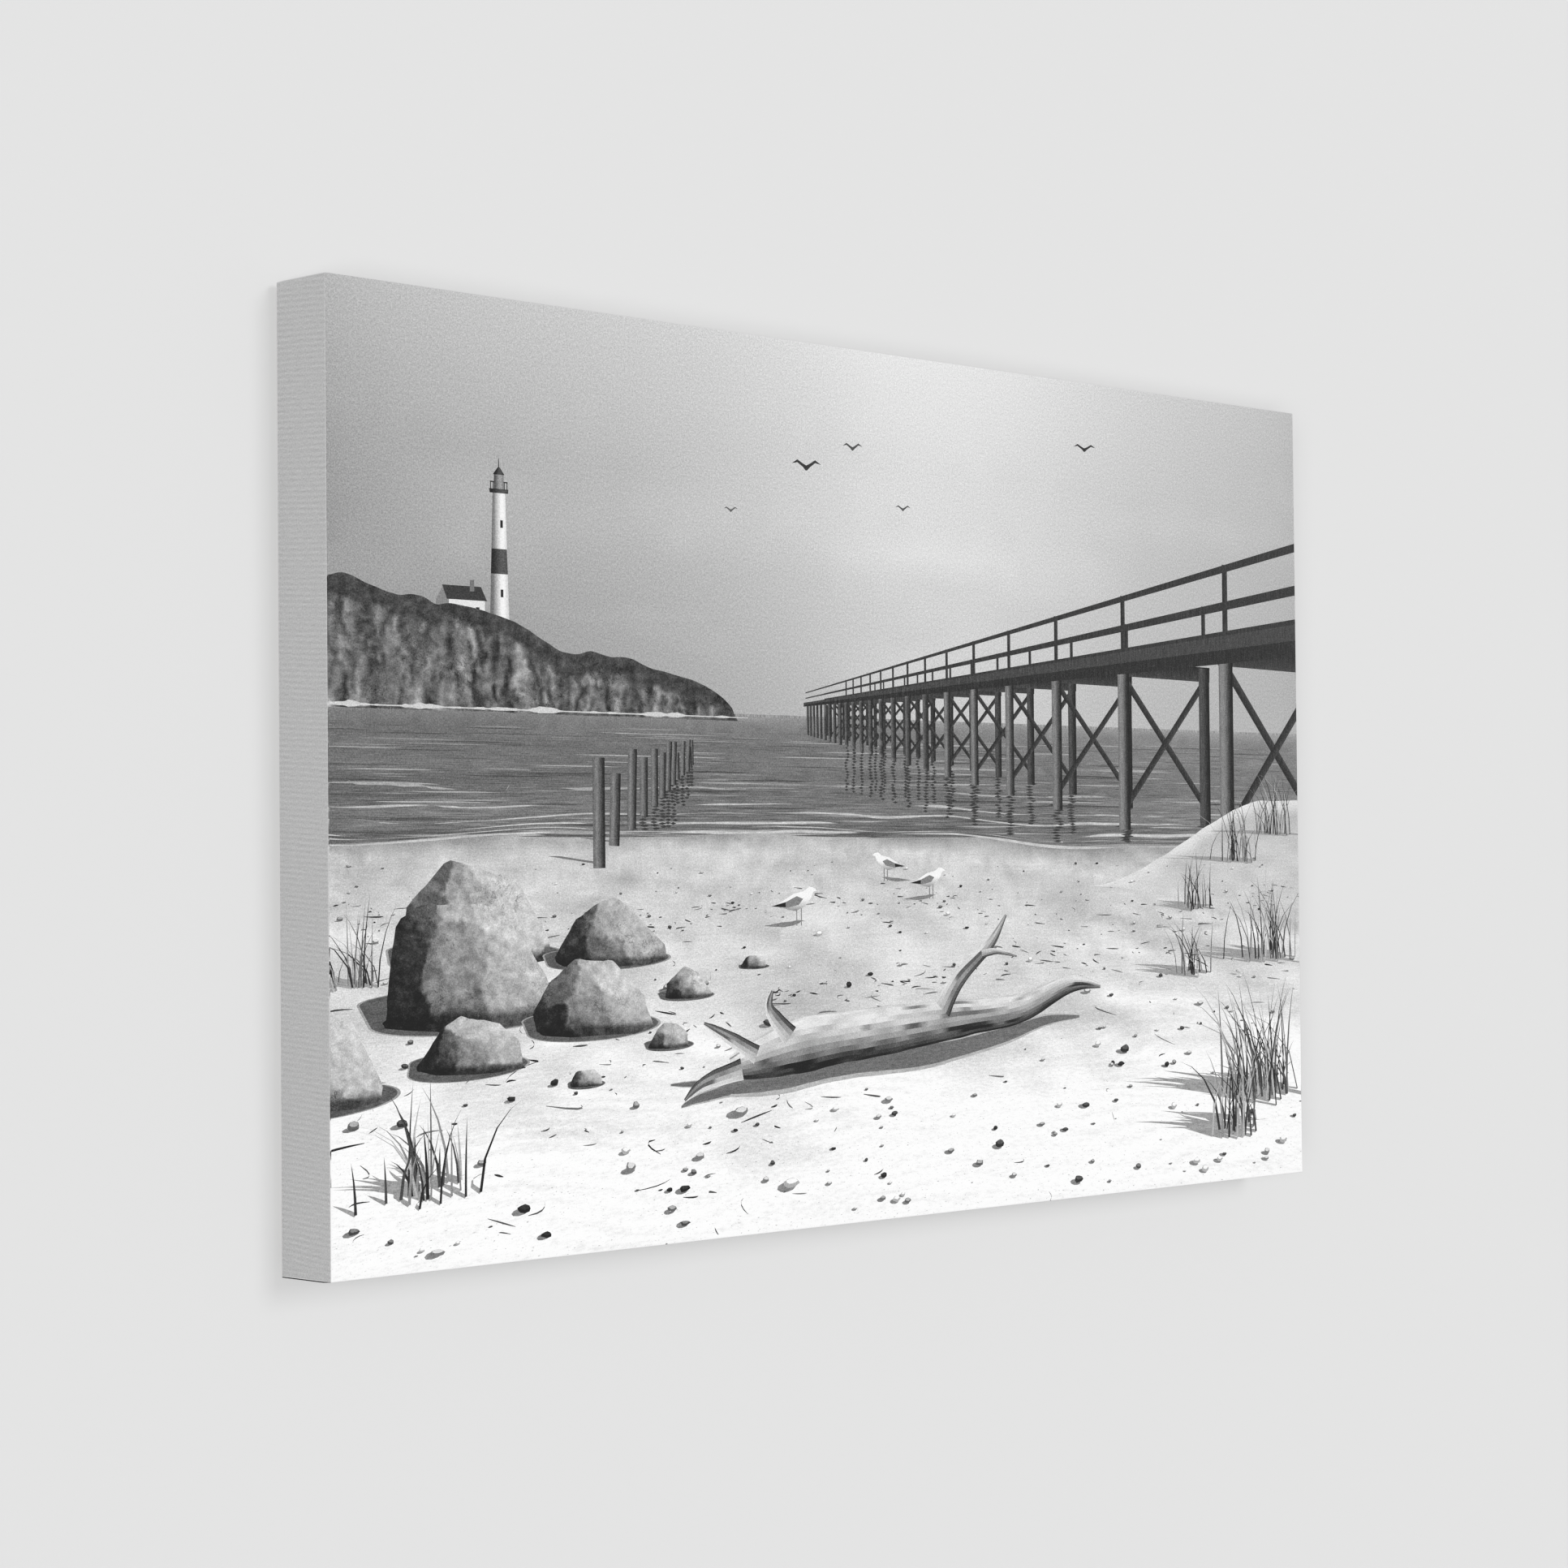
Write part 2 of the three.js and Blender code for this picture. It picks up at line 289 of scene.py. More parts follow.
# More points for the mesh where tones change, on a shaken grid.
def scatterFine(low, high, step, inside=None):
    u, v = np.meshgrid(np.arange(low[0], high[0], step), np.arange(low[1], high[1], step))
    spots = np.stack([u.ravel(), v.ravel()], -1) + rng.uniform(-0.3, 0.3, (u.size, 2)) * step
    spots = spots[(np.abs(spots) < pictureHalf - 0.6).all(axis=1)]
    finePoints.append(spots if inside is None else spots[inside(spots[:, 0], spots[:, 1])])


# A strip between two polylines, split lengthwise. tones gives the tone across, from 0 to 1.
def band(left, right, tones, kind="plain", strips=4):
    for i in range(strips):
        a, b = i / strips, (i + 1) / strips
        near, far = left + (right - left) * a, left + (right - left) * b

        def across(u, v, a=a, b=b, near=near, far=far):
            middle = (near[0] + near[-1]) / 2
            side = (far[0] + far[-1]) / 2 - middle
            part = ((u - middle[0]) * side[0] + (v - middle[1]) * side[1]) / max((side**2).sum(), 1e-9)
            return tones(a + (b - a) * np.clip(part, 0, 1))

        ink(between(near, far), across, kind)


# A straight timber between two places in the printed world, (across, away, up), metres thick.
def beam(start, end, width, tones, kind="wood", strips=2):
    ends = np.array([place(*start), place(*end)])
    along = ends[1] - ends[0]
    normal = np.array([-along[1], along[0]]) / max(np.hypot(*along), 1e-9)
    reach = np.array([width / start[1], width / end[1]])[:, None] * printedView["focal"] / 2
    band(ends + normal * reach, ends - normal * reach, tones, kind, strips)


# Tone across a round timber, brightest where it faces the sun, which is at towards, 0 to 1.
def roundTones(dark, light, towards):
    return lambda part: dark + (light - dark) * np.clip(np.cos((part - towards) * 2.4), 0, 1) ** 1.3


sky = {
    "left": 0.552,
    "right": 0.700,
    "glow": 0.078,            # a bright patch that fades as a bell curve about glowAt, picture mm
    "glowAt": 70.0,
    "glowWide": 160.0,
    "rise": (0.205, 0.06),    # how much brighter the top is, on the left and on the right
    "leftFall": (0.050, 60.0),     # the lens's dark edge: how much, and over how many mm it fades by 1/e
    "rightFall": (0.028, 30.0),
}


# Greys rise in a line across to the middle and upwards, with a bright patch, darker ends that fade
# exponentially, and faint cloud banks and streaks of lattice noise.
def skyTone(u, v):
    across = np.clip((u + 400) / 800, 0, 1)
    up = np.clip((v - printedView["horizon"]) / 210, 0, 1)
    cloud = fractal(u / 150 + 3, v / 34, 5, 40)
    cloud = np.clip((cloud - 0.50) * 3.0, 0, 1) * np.exp(-((up - 0.30) / 0.30) ** 2) * 0.06
    streak = (fractal(u / 260 + v / 90, v / 16, 4, 44) - 0.5) * 0.06 * np.exp(-((up - 0.62) / 0.25) ** 2)
    level = sky["left"] + (sky["right"] - sky["left"]) * np.clip((u + 400) / 400, 0, 1)
    level = level + sky["glow"] * np.exp(-((u - sky["glowAt"]) / sky["glowWide"]) ** 2)
    rise = sky["rise"][0] + (sky["rise"][1] - sky["rise"][0]) * across
    for fall, inwards in ((sky["leftFall"], u + 400), (sky["rightFall"], 400 - u)):
        level = level - fall[0] * np.exp(-np.maximum(inwards, 0) / fall[1])
    return level + rise * up + cloud + streak


# How far away the water's edge lies, by a slow and a quicker noise along the beach.
def shoreAway(across):
    slow = 2.2 * (lattice(across / 5.0, 0.0, 5) - 0.5)
    quick = 0.8 * (lattice(across / 1.7, 0.0, 6) - 0.5)
    return 12.5 - 0.10 * across + slow + quick


def seaTone(u, v):
    across, away = groundAt(u, v)
    haze = np.clip(away / 400, 0, 1)
    swell = fractal(across / 9, away / 1.6, 3, 21) - 0.5
    return 0.44 + 0.14 * haze + 0.16 * swell * (1 - haze) + 0.04 * (u / 400)


def sandTone(u, v):
    across, away = groundAt(u, v)
    wet = np.clip((away - shoreAway(across) + 1.9) / 1.9, 0, 1)
    hollow = fractal(across / 1.9, away / 1.3, 4, 31) - fractal(across / 1.9 + 0.08, away / 1.3 + 0.05, 4, 31)
    patch = fractal(across / 0.8, away / 0.8, 3, 33) - 0.5
    bright = 0.775 + 0.065 * ease(-v, 0, 120) + 0.24 * ease(-v, 110, 240)
    return np.clip(bright - 0.20 * wet**0.8 + 1.1 * hollow + 0.05 * patch, 0, 1)


# offset out from the water's edge and thickness in metres, tone, seed
foamLines = (
    (-0.18, 0.20, 0.88, 51),
    (0.30, 0.10, 0.86, 58),
    (0.95, 0.22, 0.90, 52),
    (2.3, 0.28, 0.86, 55),
    (4.1, 0.38, 0.84, 53),
    (8.0, 0.55, 0.76, 54),
)


def drawSea():
    half = pictureHalf
    horizon = printedView["horizon"]
    ink([(-half[0], horizon), (half[0], horizon), (half[0], -half[1]), (-half[0], -half[1])], seaTone, "sea")
    across = np.linspace(-16, 16, 320)
    away = shoreAway(across)
    shoreLine = place(across, away)
    wide = np.array([[900, shoreLine[-1, 1]], [900, -300], [-900, -300], [-900, shoreLine[0, 1]]])
    ink(np.vstack([shoreLine, wide]), sandTone, "sand")
    drawSwell()
    for offset, thick, light, seed in foamLines:
        middle = away + offset + 0.7 * (fractal(across / 2.4, 0 * across, 3, seed) - 0.5) * (1 + offset / 5)
        depth = thick * np.clip(fractal(across / 1.7, 0 * across, 4, seed + 9) * 2.6 - 0.95, 0.015, 1)
        edge = between(place(across, middle + depth), place(across, middle - depth * 0.7))
        ink(edge, lambda u, v, light=light: light - 0.22 * fractal(u / 4, v / 1.2, 2, 57), "foam")
    scatterFine((-400, -250), (400, 0), 7)
    scatterFine((-400, -60), (400, 37), 7)
    scatterFine((-400, 38), (400, 250), 16)


# A thin leaf shape lying on the water or the sand, its edges parabolas.
def lens(across, away, length, depth, tone, kind, bow=0.0):
    part = np.linspace(-1, 1, 7)
    arch = 1 - part**2
    top = place(across + length / 2 * part, away + depth * arch + bow * part**2)
    low = place(across + length / 2 * part[1:-1], away - 0.5 * depth * arch[1:-1] + bow * part[1:-1]**2)
    ink(between(top, low), tone, kind)


swell = {
    "count": 430,
    "nearest": 13.2,       # metres away
    "reach": 75,
    "aside": 0.76,         # half the view's width at one metre away
    "sizes": (0.5, 2.6),
    "tones": [0.30, 0.35, 0.40, 0.55, 0.66],
}


# Dark troughs and pale crests, thinner and closer the farther out they lie.
def drawSwell():
    look, count = swell, swell["count"]
    away = look["nearest"] + look["reach"] * rng.random(count)**2.0
    across = rng.uniform(-look["aside"], look["aside"], count) * away
    sizes = rng.uniform(*look["sizes"], count)
    tones = rng.choice(look["tones"], count)
    for x, d, size, tone in sorted(zip(across, away, sizes, tones), key=lambda w: -w[1]):
        lens(x, d, size * (d / 13)**0.7, 0.010 * size * d**1.25 / 3, tone, "sea", rng.normal(0, 0.1))


# The headland with its lighthouse, far off on the left

headland = {
    "left": -405.0,
    "right": -118.0,
    "foot": 36.5,
    # rise, shift towards the left, seed of the far ridge and the near one
    "ridges": ((50, 30, 71), (60, 0, 75)),
}


# The ridge is a root of the distance from its right end, made uneven by lattice noise.
def headlandRidge(u, rise, shift, seed):
    fall = np.clip((headland["right"] - u) / 280 - shift / 400, 0, 1)
    ridge = headland["foot"] + rise * fall**0.55 * (0.72 + 0.5 * fractal(u / 60, 0 * u, 4, seed))
    return np.where(fall > 0, ridge, headland["foot"])


def drawHeadland():
    u = np.linspace(headland["left"], headland["right"], 130)
    for number, (rise, shift, seed) in enumerate(headland["ridges"]):
        ridge = headlandRidge(u, rise, shift, seed)

        # Cliffs are lit and shaded by turns along the coast, with thin level beds, under a band of turf.
        def cliff(a, b, ridge=ridge, seed=seed, number=number):
            below = np.interp(a, u, ridge) - b
            bent = a / 10 + 1.6 * fractal(a / 26, b / 16, 3, seed + 4)
            facing = fractal(bent, b / 34, 4, seed + 1) - fractal(bent + 0.16, b / 34, 4, seed + 1)
            beds = fractal(a / 40, b / 1.9 + a / 60, 2, seed + 2) - 0.5
            rock = 0.40 + 0.10 * (1 - number) + 1.9 * facing + 0.14 * beds
            turf = 0.25 + 0.12 * (1 - number) + 0.16 * (fractal(a / 5, b / 2.5, 3, seed + 3) - 0.5)
            edge = 7 + 9 * fractal(a / 16, 0 * a, 3, seed + 5)
            return np.clip(turf + (rock - turf) * ease(below, edge - 2, edge + 1.5), 0.05, 0.86)

        ink(np.vstack([np.stack([u, ridge], -1), [[headland["right"] + 2, 34], [-405, 34]]]), cliff, "rock")
        if number == 0:
            drawLighthouse()
    scatterFine((-400, 34), (-118, 100), 2.7)
    surf = np.linspace(-405, headland["right"] + 10, 150)
    foam = 0.12 + 2.4 * np.clip(fractal(surf / 9, 0 * surf, 4, 79) - 0.36, 0, 1)
    lift = foam * ease(surf, headland["right"] + 10, -150)
    top, low = np.stack([surf, 36.0 + 1.6 * lift], -1), np.stack([surf, 35.7 - lift], -1)
    ink(between(top, low), 0.82, "foam")


lighthouse = {"u": -288.0, "foot": 86.0, "height": 62.0, "footHalf": 6.6, "topHalf": 4.3}


def drawLighthouse():
    look = lighthouse
    u, foot, top = look["u"], look["foot"], look["foot"] + look["height"]
    walls = roundTones(0.42, 0.97, 0.72)

    def tier(low, high, halfLow, halfHigh, tones, strips=5):
        left = np.array([[u - halfLow, low], [u - halfHigh, high]])
        band(left, left * [0, 1] + [[u + halfLow, 0], [u + halfHigh, 0]], tones, "plain", strips)

    tier(foot - 6, top, look["footHalf"], look["topHalf"], walls)
    tier(foot + 20, foot + 33, 5.75, 5.2, roundTones(0.10, 0.34, 0.72))
    tier(top, top + 2.2, 6.2, 6.6, roundTones(0.08, 0.3, 0.72), 3)
    for post in np.linspace(-5.6, 5.6, 7):
        ink(oblong(u + post - 0.3, u + post + 0.3, top + 2, top + 6), 0.16)
    ink(oblong(u - 6, u + 6, top + 5.4, top + 6.1), 0.16)
    tier(top + 2.2, top + 9.6, 3.3, 3.3, roundTones(0.22, 0.62, 0.66), 4)
    tier(top + 9.6, top + 13.4, 4.0, 0.7, roundTones(0.06, 0.3, 0.7), 3)
    ink([(u - 0.35, top + 13), (u + 0.35, top + 13), (u + 0.2, top + 18), (u - 0.2, top + 18)], 0.12)
    for low in (foot + 8, foot + 44):
        ink(oblong(u + 0.8, u + 2.6, low, low + 4), 0.12)

    # the keeper's house: wall, gable end, roof, chimney and windows
    x, z = u - 34, foot + 4
    ink(oblong(x, x + 24, z - 24, z + 2), 0.90)
    ink([(x, z - 24), (x, z + 2), (x - 4.2, z + 7.5), (x - 8.5, z + 1), (x - 8.5, z - 24)], 0.52)
    ink([(x - 1.2, z + 1.4), (x + 25.5, z + 1.4), (x + 21.5, z + 8.6), (x - 4.4, z + 8.6)], 0.22)
    ink(oblong(x + 14, x + 17, z + 6, z + 12), 0.45)
    for pane in (4, 11, 18):
        ink(oblong(x + pane, x + pane + 2.4, z - 6.5, z - 2), 0.15)


# The pier, from the sand on the right out to sea

pier = {
    "start": (8.6, 8.2),      # across and away of its axis
    "end": (-9.0, 92.0),
    "bay": 3.6,
    "halfWidth": 1.25,
    "deckUp": 2.75,
    "railUp": 3.8,
    "postWidth": 0.30,
}


# The mirrored post, broken by the ripples into slanting dashes.
def drawReflection(across, away, height, width):
    top, low = place(across, away, 0), place(across, away, -height)
    half = width * printedView["focal"] / away / 2
    for v in np.arange(top[1], max(low[1], top[1] - 26), -1.7):
        shift = half * 1.5 * (lattice(v / 2.1, across, 65) - 0.5)
        size = half * (0.75 + 0.6 * lattice(v / 1.3, across, 66))
        if groundAt(top[0], v)[1] > shoreAway(across) + 0.2:
            u = top[0] + shift
            ink([(u - size, v), (u, v - 0.75), (u + size, v), (u, v + 0.75)], 0.22, "sea")


def drawPier():
    look = pier
    start, end = np.array(look["start"]), np.array(look["end"])
    length = np.hypot(*(end - start))
    heading = (end - start) / length
    side = np.array([heading[1], -heading[0]])
    rightSide, leftSide = side * look["halfWidth"], -side * look["halfWidth"]

    def at(distance, offset, up):
        spot = start + heading * distance + offset
        return spot[0], spot[1], up

    # Both edges of a long board that runs the pier's length between two heights.
    def run(low, high, offset, step=3.6):
        distances = np.append(np.arange(-4, length, step), length)
        spots = start + heading * distances[:, None] + offset
        return place(spots[:, 0], spots[:, 1], low), place(spots[:, 0], spots[:, 1], high)

    deckBottom = between(run(look["deckUp"], 0, leftSide)[0], run(look["deckUp"], 0, rightSide)[0])
    bays = np.arange(int(length / look["bay"]), -1, -1) * look["bay"]
    rail = (lambda part: 0.13 + 0.12 * part)
    posts = [at(distance, offset, 0)[:2] for distance in bays for offset in (rightSide, leftSide)]
    for across, away in posts:
        if 12.6 < away < 60:
            drawReflection(across, away, look["deckUp"], look["postWidth"])
    for across, away in posts:
        if away <= 60:
            beam((across, away, look["deckUp"]), (across, away, look["railUp"]), 0.11, rail, "wood", 1)
    for height in (look["railUp"], look["railUp"] - 0.5):
        for offset in (rightSide, leftSide):
            low, high = run(height - 0.1, height, offset)
            ink(between(low, high), 0.2, "wood")
    ink(deckBottom, 0.1, "wood")
    for distance in bays:
        away = at(distance, 0, 0)[1]
        strips = 5 if away < 16 else (3 if away < 30 else 1)
        if away < 70:
            for a, b in ((rightSide, leftSide), (leftSide, rightSide)):
                beam(at(distance, a, 0.25), at(distance, b, look["deckUp"] - 0.3), 0.13, rail, "wood", 1)
            ends = [at(distance, edge * 1.15, look["deckUp"] - 0.16) for edge in (leftSide, rightSide)]
            beam(*ends, 0.26, rail, "wood", 1)
        for offset, light in ((rightSide, 0.30), (leftSide, 0.52)):
            post = at(distance, offset, 0)
            beam((post[0], post[1], -0.1), (post[0], post[1], look["deckUp"] - 0.05), look["postWidth"],
                 roundTones(0.07, light, 0.24), "wood", strips)
    low, high = run(look["deckUp"] - 0.28, look["deckUp"] + 0.08, leftSide * 1.2)
    band(high, low, lambda part: 0.36 - 0.2 * part, "wood", 2)


# Boulders on the left

boulders = [
    # across, away, half width, height, seed
    (-3.75, 6.9, 0.66, 0.60, 1),
    (-2.55, 6.7, 0.50, 0.40, 2),
    (-3.10, 5.6, 0.60, 0.68, 3),
    (-2.12, 5.3, 0.42, 0.36, 14),
    (-2.66, 4.8, 0.32, 0.25, 5),
    (-1.62, 5.8, 0.20, 0.15, 6),
    (-1.50, 4.95, 0.15, 0.11, 7),
    (-1.85, 4.5, 0.10, 0.07, 8),
    (-3.3, 4.5, 0.40, 0.32, 9),
    (-1.2, 6.4, 0.13, 0.08, 10),
]


# A broken rock. Its outline is the nearest of several straight cuts, its face the nearest of several planes.
def drawBoulder(across, away, halfSize, height, seed):
    own = np.random.default_rng(300 + seed)
    scale = printedView["focal"] / away
    foot = place(across, away)
    towards = np.array(printedView["sun"]) / np.linalg.norm(printedView["sun"])
    turn = np.linspace(0, 2 * np.pi, 80, endpoint=False)
    cuts = np.arange(9) * 2 * np.pi / 9 + own.uniform(-0.3, 0.3, 9)
    facing = np.cos(turn[:, None] - cuts)
    reach = np.where(facing > 0.2, own.uniform(0.80, 1.0, 9) / np.maximum(facing, 0.2), 9).min(axis=1)
    uneven = fractal(np.cos(turn) * 3 + 9, np.sin(turn) * 3 + 9, 3, seed) - 0.5
    reach = np.minimum(reach, 1.1) + 0.07 * uneven
    rise = np.where(np.sin(turn) > 0, height, height * 0.13) * scale
    outline = foot + np.stack([np.cos(turn) * reach * halfSize * scale, np.sin(turn) * reach * rise], -1)

    base = np.stack([across + np.cos(turn) * halfSize * 1.02, away + np.sin(turn) * halfSize * 0.5], -1)
    fallen = [across - height * towards[0] / towards[2], away - height * towards[1] / towards[2]]
    cast = (base - [across, away]) * 0.62 + fallen
    for grow, tone in ((1.035, 0.66), (1.0, 0.40)):
        ground = np.vstack([base, cast])
        ground = ground.mean(axis=0) + (ground - ground.mean(axis=0)) * grow
        shade = place(ground[:, 0], ground[:, 1])
        hull = shade[convex_hull_2d([Vector(p) for p in shade.tolist()])]
        ink(hull, lambda u, v, tone=tone: tone - 0.10 * fractal(u / 5, v / 5, 2, 90), "sand")

    planes = own.normal(size=(19, 3)) * [1, 0.8, 0.9]
    planes[:, 1] = -np.abs(planes[:, 1]) - 0.25
    planes[:, 2] = planes[:, 2] * 0.8 + 0.25
    planes /= np.linalg.norm(planes, axis=1, keepdims=True)
    apart = own.uniform(0.66, 0.86, 19)

    def face(u, v):
        def relief(aside, above):
            return fractal(u / 22 + seed + aside, v / 16 + above, 5, seed + 3)

        x = (u - foot[0]) / (halfSize * scale)
        up = (v - foot[1]) / (height * scale)
        entry = (apart - planes[:, 0] * x[:, None] - planes[:, 2] * up[:, None]) / planes[:, 1]
        flat = planes[entry.argmax(axis=1)]
        slopeX = relief(0.06, 0) - relief(-0.06, 0)
        slopeUp = relief(0, 0.06) - relief(0, -0.06)
        domed = np.stack([x, -np.sqrt(np.clip(1.05 - x**2 - np.clip(up, 0, 1)**2, 0.02, 1)), up + 0.15], -1)
        normal = 0.66 * flat + 0.34 * domed + np.stack([-slopeX, 0 * x, -slopeUp], -1) * 1.7
        normal /= np.linalg.norm(normal, axis=-1, keepdims=True)
        lit = np.clip(normal @ towards, 0, 1)
        ground = np.clip(up * 7 + 0.55, 0.45, 1)
        speckle = 0.12 * (fractal(u / 2.5, v / 2.5, 3, 8) - 0.5)
        return np.clip((0.10 + 0.72 * lit**0.9) * ground + speckle, 0.03, 0.88)

    def within(u, v):
        return ((u - foot[0]) / halfSize / scale)**2 + ((v - foot[1]) / height / scale)**2 < 1.1

    ink(outline, face, "rock")
    near, far = outline.min(axis=0), outline.max(axis=0)
    scatterFine(near, far, max(1.6, 0.024 * (far[0] - near[0])), within)


# Driftwood: a bent bleached trunk with a stub of branch, and its shadow

driftwood = {
    # places as across, away and up, with the radius at each, in metres
    "trunk": ((-0.95, 4.30, 0.10), (-0.55, 4.38, 0.15), (-0.1, 4.5, 0.15), (0.45, 4.50, 0.19),
              (1.0, 4.72, 0.16), (1.45, 4.9, 0.22), (1.72, 4.95, 0.19)),
    "radii": (0.055, 0.13, 0.108, 0.092, 0.070, 0.045, 0.012),
    "branches": (
        (((0.40, 4.5, 0.24), (0.52, 4.46, 0.40), (0.74, 4.5, 0.54), (0.86, 4.5, 0.68)),
         (0.055, 0.042, 0.030, 0.008)),
        (((0.68, 4.48, 0.50), (0.78, 4.44, 0.52), (0.92, 4.42, 0.50)), (0.020, 0.014, 0.005)),
        (((-0.60, 4.36, 0.20), (-0.72, 4.33, 0.33), (-0.70, 4.30, 0.42)), (0.050, 0.030, 0.010)),
        (((-0.80, 4.33, 0.14), (-0.98, 4.30, 0.24), (-1.10, 4.28, 0.30)), (0.040, 0.026, 0.008)),
        (((-0.88, 4.28, 0.10), (-1.08, 4.20, 0.08), (-1.18, 4.16, 0.03)), (0.045, 0.030, 0.008)),
    ),
}


# A curve through the points: each coordinate is a cubic between neighbours, eased at the points.
def smoothLine(points, count):
    points = np.array(points, float)
    steps = np.linspace(0, len(points) - 1, count)
    cell = np.clip(steps.astype(int), 0, len(points) - 2)
    part = (steps - cell)[:, None]
    before, after = points[np.clip(cell - 1, 0, None)], points[np.clip(cell + 2, None, len(points) - 1)]
    a, b = points[cell], points[cell + 1]
    slopeA, slopeB = (b - before) / 2, (after - a) / 2
    return (a * (2 * part**3 - 3 * part**2 + 1) + slopeA * (part**3 - 2 * part**2 + part)
            + b * (3 * part**2 - 2 * part**3) + slopeB * (part**3 - part**2))


# A limb's route and its thickness there, made uneven by lattice noise.
def limbSpots(route, radii, count, seed):
    thick = smoothLine([[r] for r in radii], count)[:, 0]
    uneven = fractal(np.linspace(0, 9, count), 0, 3, seed) - 0.5
    return smoothLine(route, count), thick * (1 + 0.30 * uneven)


# Each spot's shadow lies down the sun's ray from it, as thick as the limb seen flat on the sand.
def drawLimbShadow(spots, thick, grow, tone):
    towards = np.array(printedView["sun"])
    fallen = spots[:, :2] - spots[:, 2:] * towards[:2] / towards[2]
    shade = place(fallen[:, 0], fallen[:, 1])
    flat = grow * thick[:, None] * [0, 0.5] * printedView["focal"] / spots[:, 1:2]
    ink(between(shade + flat, shade - flat), tone, "sand")


# A round limb in lengthwise strips, whose tones run in streaks like weathered grain.
def drawLimb(spots, thick, tones, strips, seed):
    line = place(spots[:, 0], spots[:, 1], spots[:, 2])
    along = np.gradient(line, axis=0)
    normal = np.stack([-along[:, 1], along[:, 0]], -1) / np.hypot(along[:, 0], along[:, 1])[:, None]
    reach = (thick * printedView["focal"] / spots[:, 1])[:, None]
    walked = np.cumsum(np.hypot(along[:, 0], along[:, 1]))
    cosine = np.cos(np.linspace(0, np.pi, strips + 1))
    for i in range(strips):
        near, far = line + normal * reach * cosine[i], line + normal * reach * cosine[i + 1]
        part = (i + 0.5) / strips

        # Tone from the place along the limb, streaked more finely across than along.
        def streaked(u, v, part=part):
            spot = walked[np.argmin((u[:, None] - line[:, 0])**2 + (v[:, None] - line[:, 1])**2, axis=1)]
            streak = fractal(spot / 16, part * 9 + 3, 4, seed + 1) - 0.5
            crack = ease(fractal(spot / 38, part * 15, 3, seed + 2), 0.60, 0.72)
            return np.clip(tones(part) + 0.34 * streak - 0.34 * crack, 0.05, 0.97)

        ink(between(near, far), streaked)


def drawDriftwood():
    tones = roundTones(0.12, 0.86, 0.22)
    trunk = limbSpots(driftwood["trunk"], driftwood["radii"], 91, 61)
    branches = [limbSpots(route, radii, 26, 64) for route, radii in driftwood["branches"]]
    for grow, tone in ((1.35, 0.70), (1.0, 0.42)):
        for limb in [trunk] + branches:
            drawLimbShadow(*limb, grow, tone)
    drawLimb(*trunk, tones, 13, 61)
    for limb in branches:
        drawLimb(*limb, tones, 6, 64)


# Dune and marram grass

# A bank of sand on the right, from which the pier starts.
def drawDune():
    u = np.linspace(180, 402, 66)
    foot = -60 - 22 * ease(u, 180, 400)
    crest = -60 + 54 * ease(u, 184, 372) + 3 * (fractal(u / 22, 0 * u, 3, 81) - 0.5) * ease(u, 200, 240)

    def tone(a, b):
        high = np.interp(a, u, crest)
        face = 0.88 - 0.14 * ease(high - b, 0, 12) * ease(a, 200, 300) + 0.05 * ease(high - b, 10, 40)
        return np.clip(face + 0.12 * (fractal(a / 18, b / 9, 4, 83) - 0.5), 0, 0.97)

    ink(between(np.stack([u, crest], -1), np.stack([u, foot], -1)), tone, "sand")
    scatterFine((190, -90), (400, 0), 3.5)


tufts = [
    # across, away, up, spread, blades, tallest
    (3.95, 6.60, 0.62, 0.34, 34, 0.62),
    (4.55, 6.80, 0.80, 0.40, 38, 0.66),
    (3.35, 6.40, 0.32, 0.26, 26, 0.50),
    (2.85, 5.60, 0.06, 0.22, 22, 0.46),
    (3.45, 5.30, 0.22, 0.34, 46, 0.60),
    (2.45, 3.85, 0.0, 0.34, 70, 0.60),
    (2.05, 3.50, 0.0, 0.20, 34, 0.40),
    (-2.20, 3.60, 0.0, 0.20, 36, 0.40),
    (-4.3, 6.3, 0.0, 0.30, 30, 0.55),
]


# Bent blades that narrow to a point, each over its own thin shadow on the sand.
def drawTuft(across, away, up, spread, blades, tallest):
    sun = printedView["sun"]
    part = np.array([0, 0.3, 0.6, 0.82, 1.0])
    drawn = []
    for _ in range(blades):
        x0, d0 = across + rng.normal(0, spread * 0.38), away + rng.normal(0, 0.05)
        bend, rise = rng.normal(-0.14, 0.36), tallest * rng.uniform(0.35, 1.0)
        thick = rng.uniform(0.0034, 0.0075)
        tone = rng.choice([0.07, 0.12, 0.18, 0.26, 0.38, 0.54, 0.70])
        x = x0 + bend * rise * part**1.9
        high = rise * (part - 0.36 * abs(bend) * part**3)
        drawn.append((d0, x, high, thick, tone))
    for shadow in (True, False):
        for d0, x, high, thick, tone in sorted(drawn, key=lambda b: -b[0]):
            if shadow:
                spine = place(x - high * sun[0] / sun[2], d0 - high * sun[1] / sun[2], up)
                side = (2.0 * thick * (1 - part**2) * printedView["focal"] / d0)[:, None] * [0.5, 0.5]
            else:
                spine = place(x, d0, high + up)
                side = (thick * (1 - part**1.8) * printedView["focal"] / d0)[:, None] * [1, 0.15]
            blade = np.vstack([spine[:-1] - side[:-1], spine[-1:], (spine[:-1] + side[:-1])[::-1]])
            ink(blade, 0.60 if shadow else tone, "sand" if shadow else "plain")


# Small things on the sand: pebbles and weed

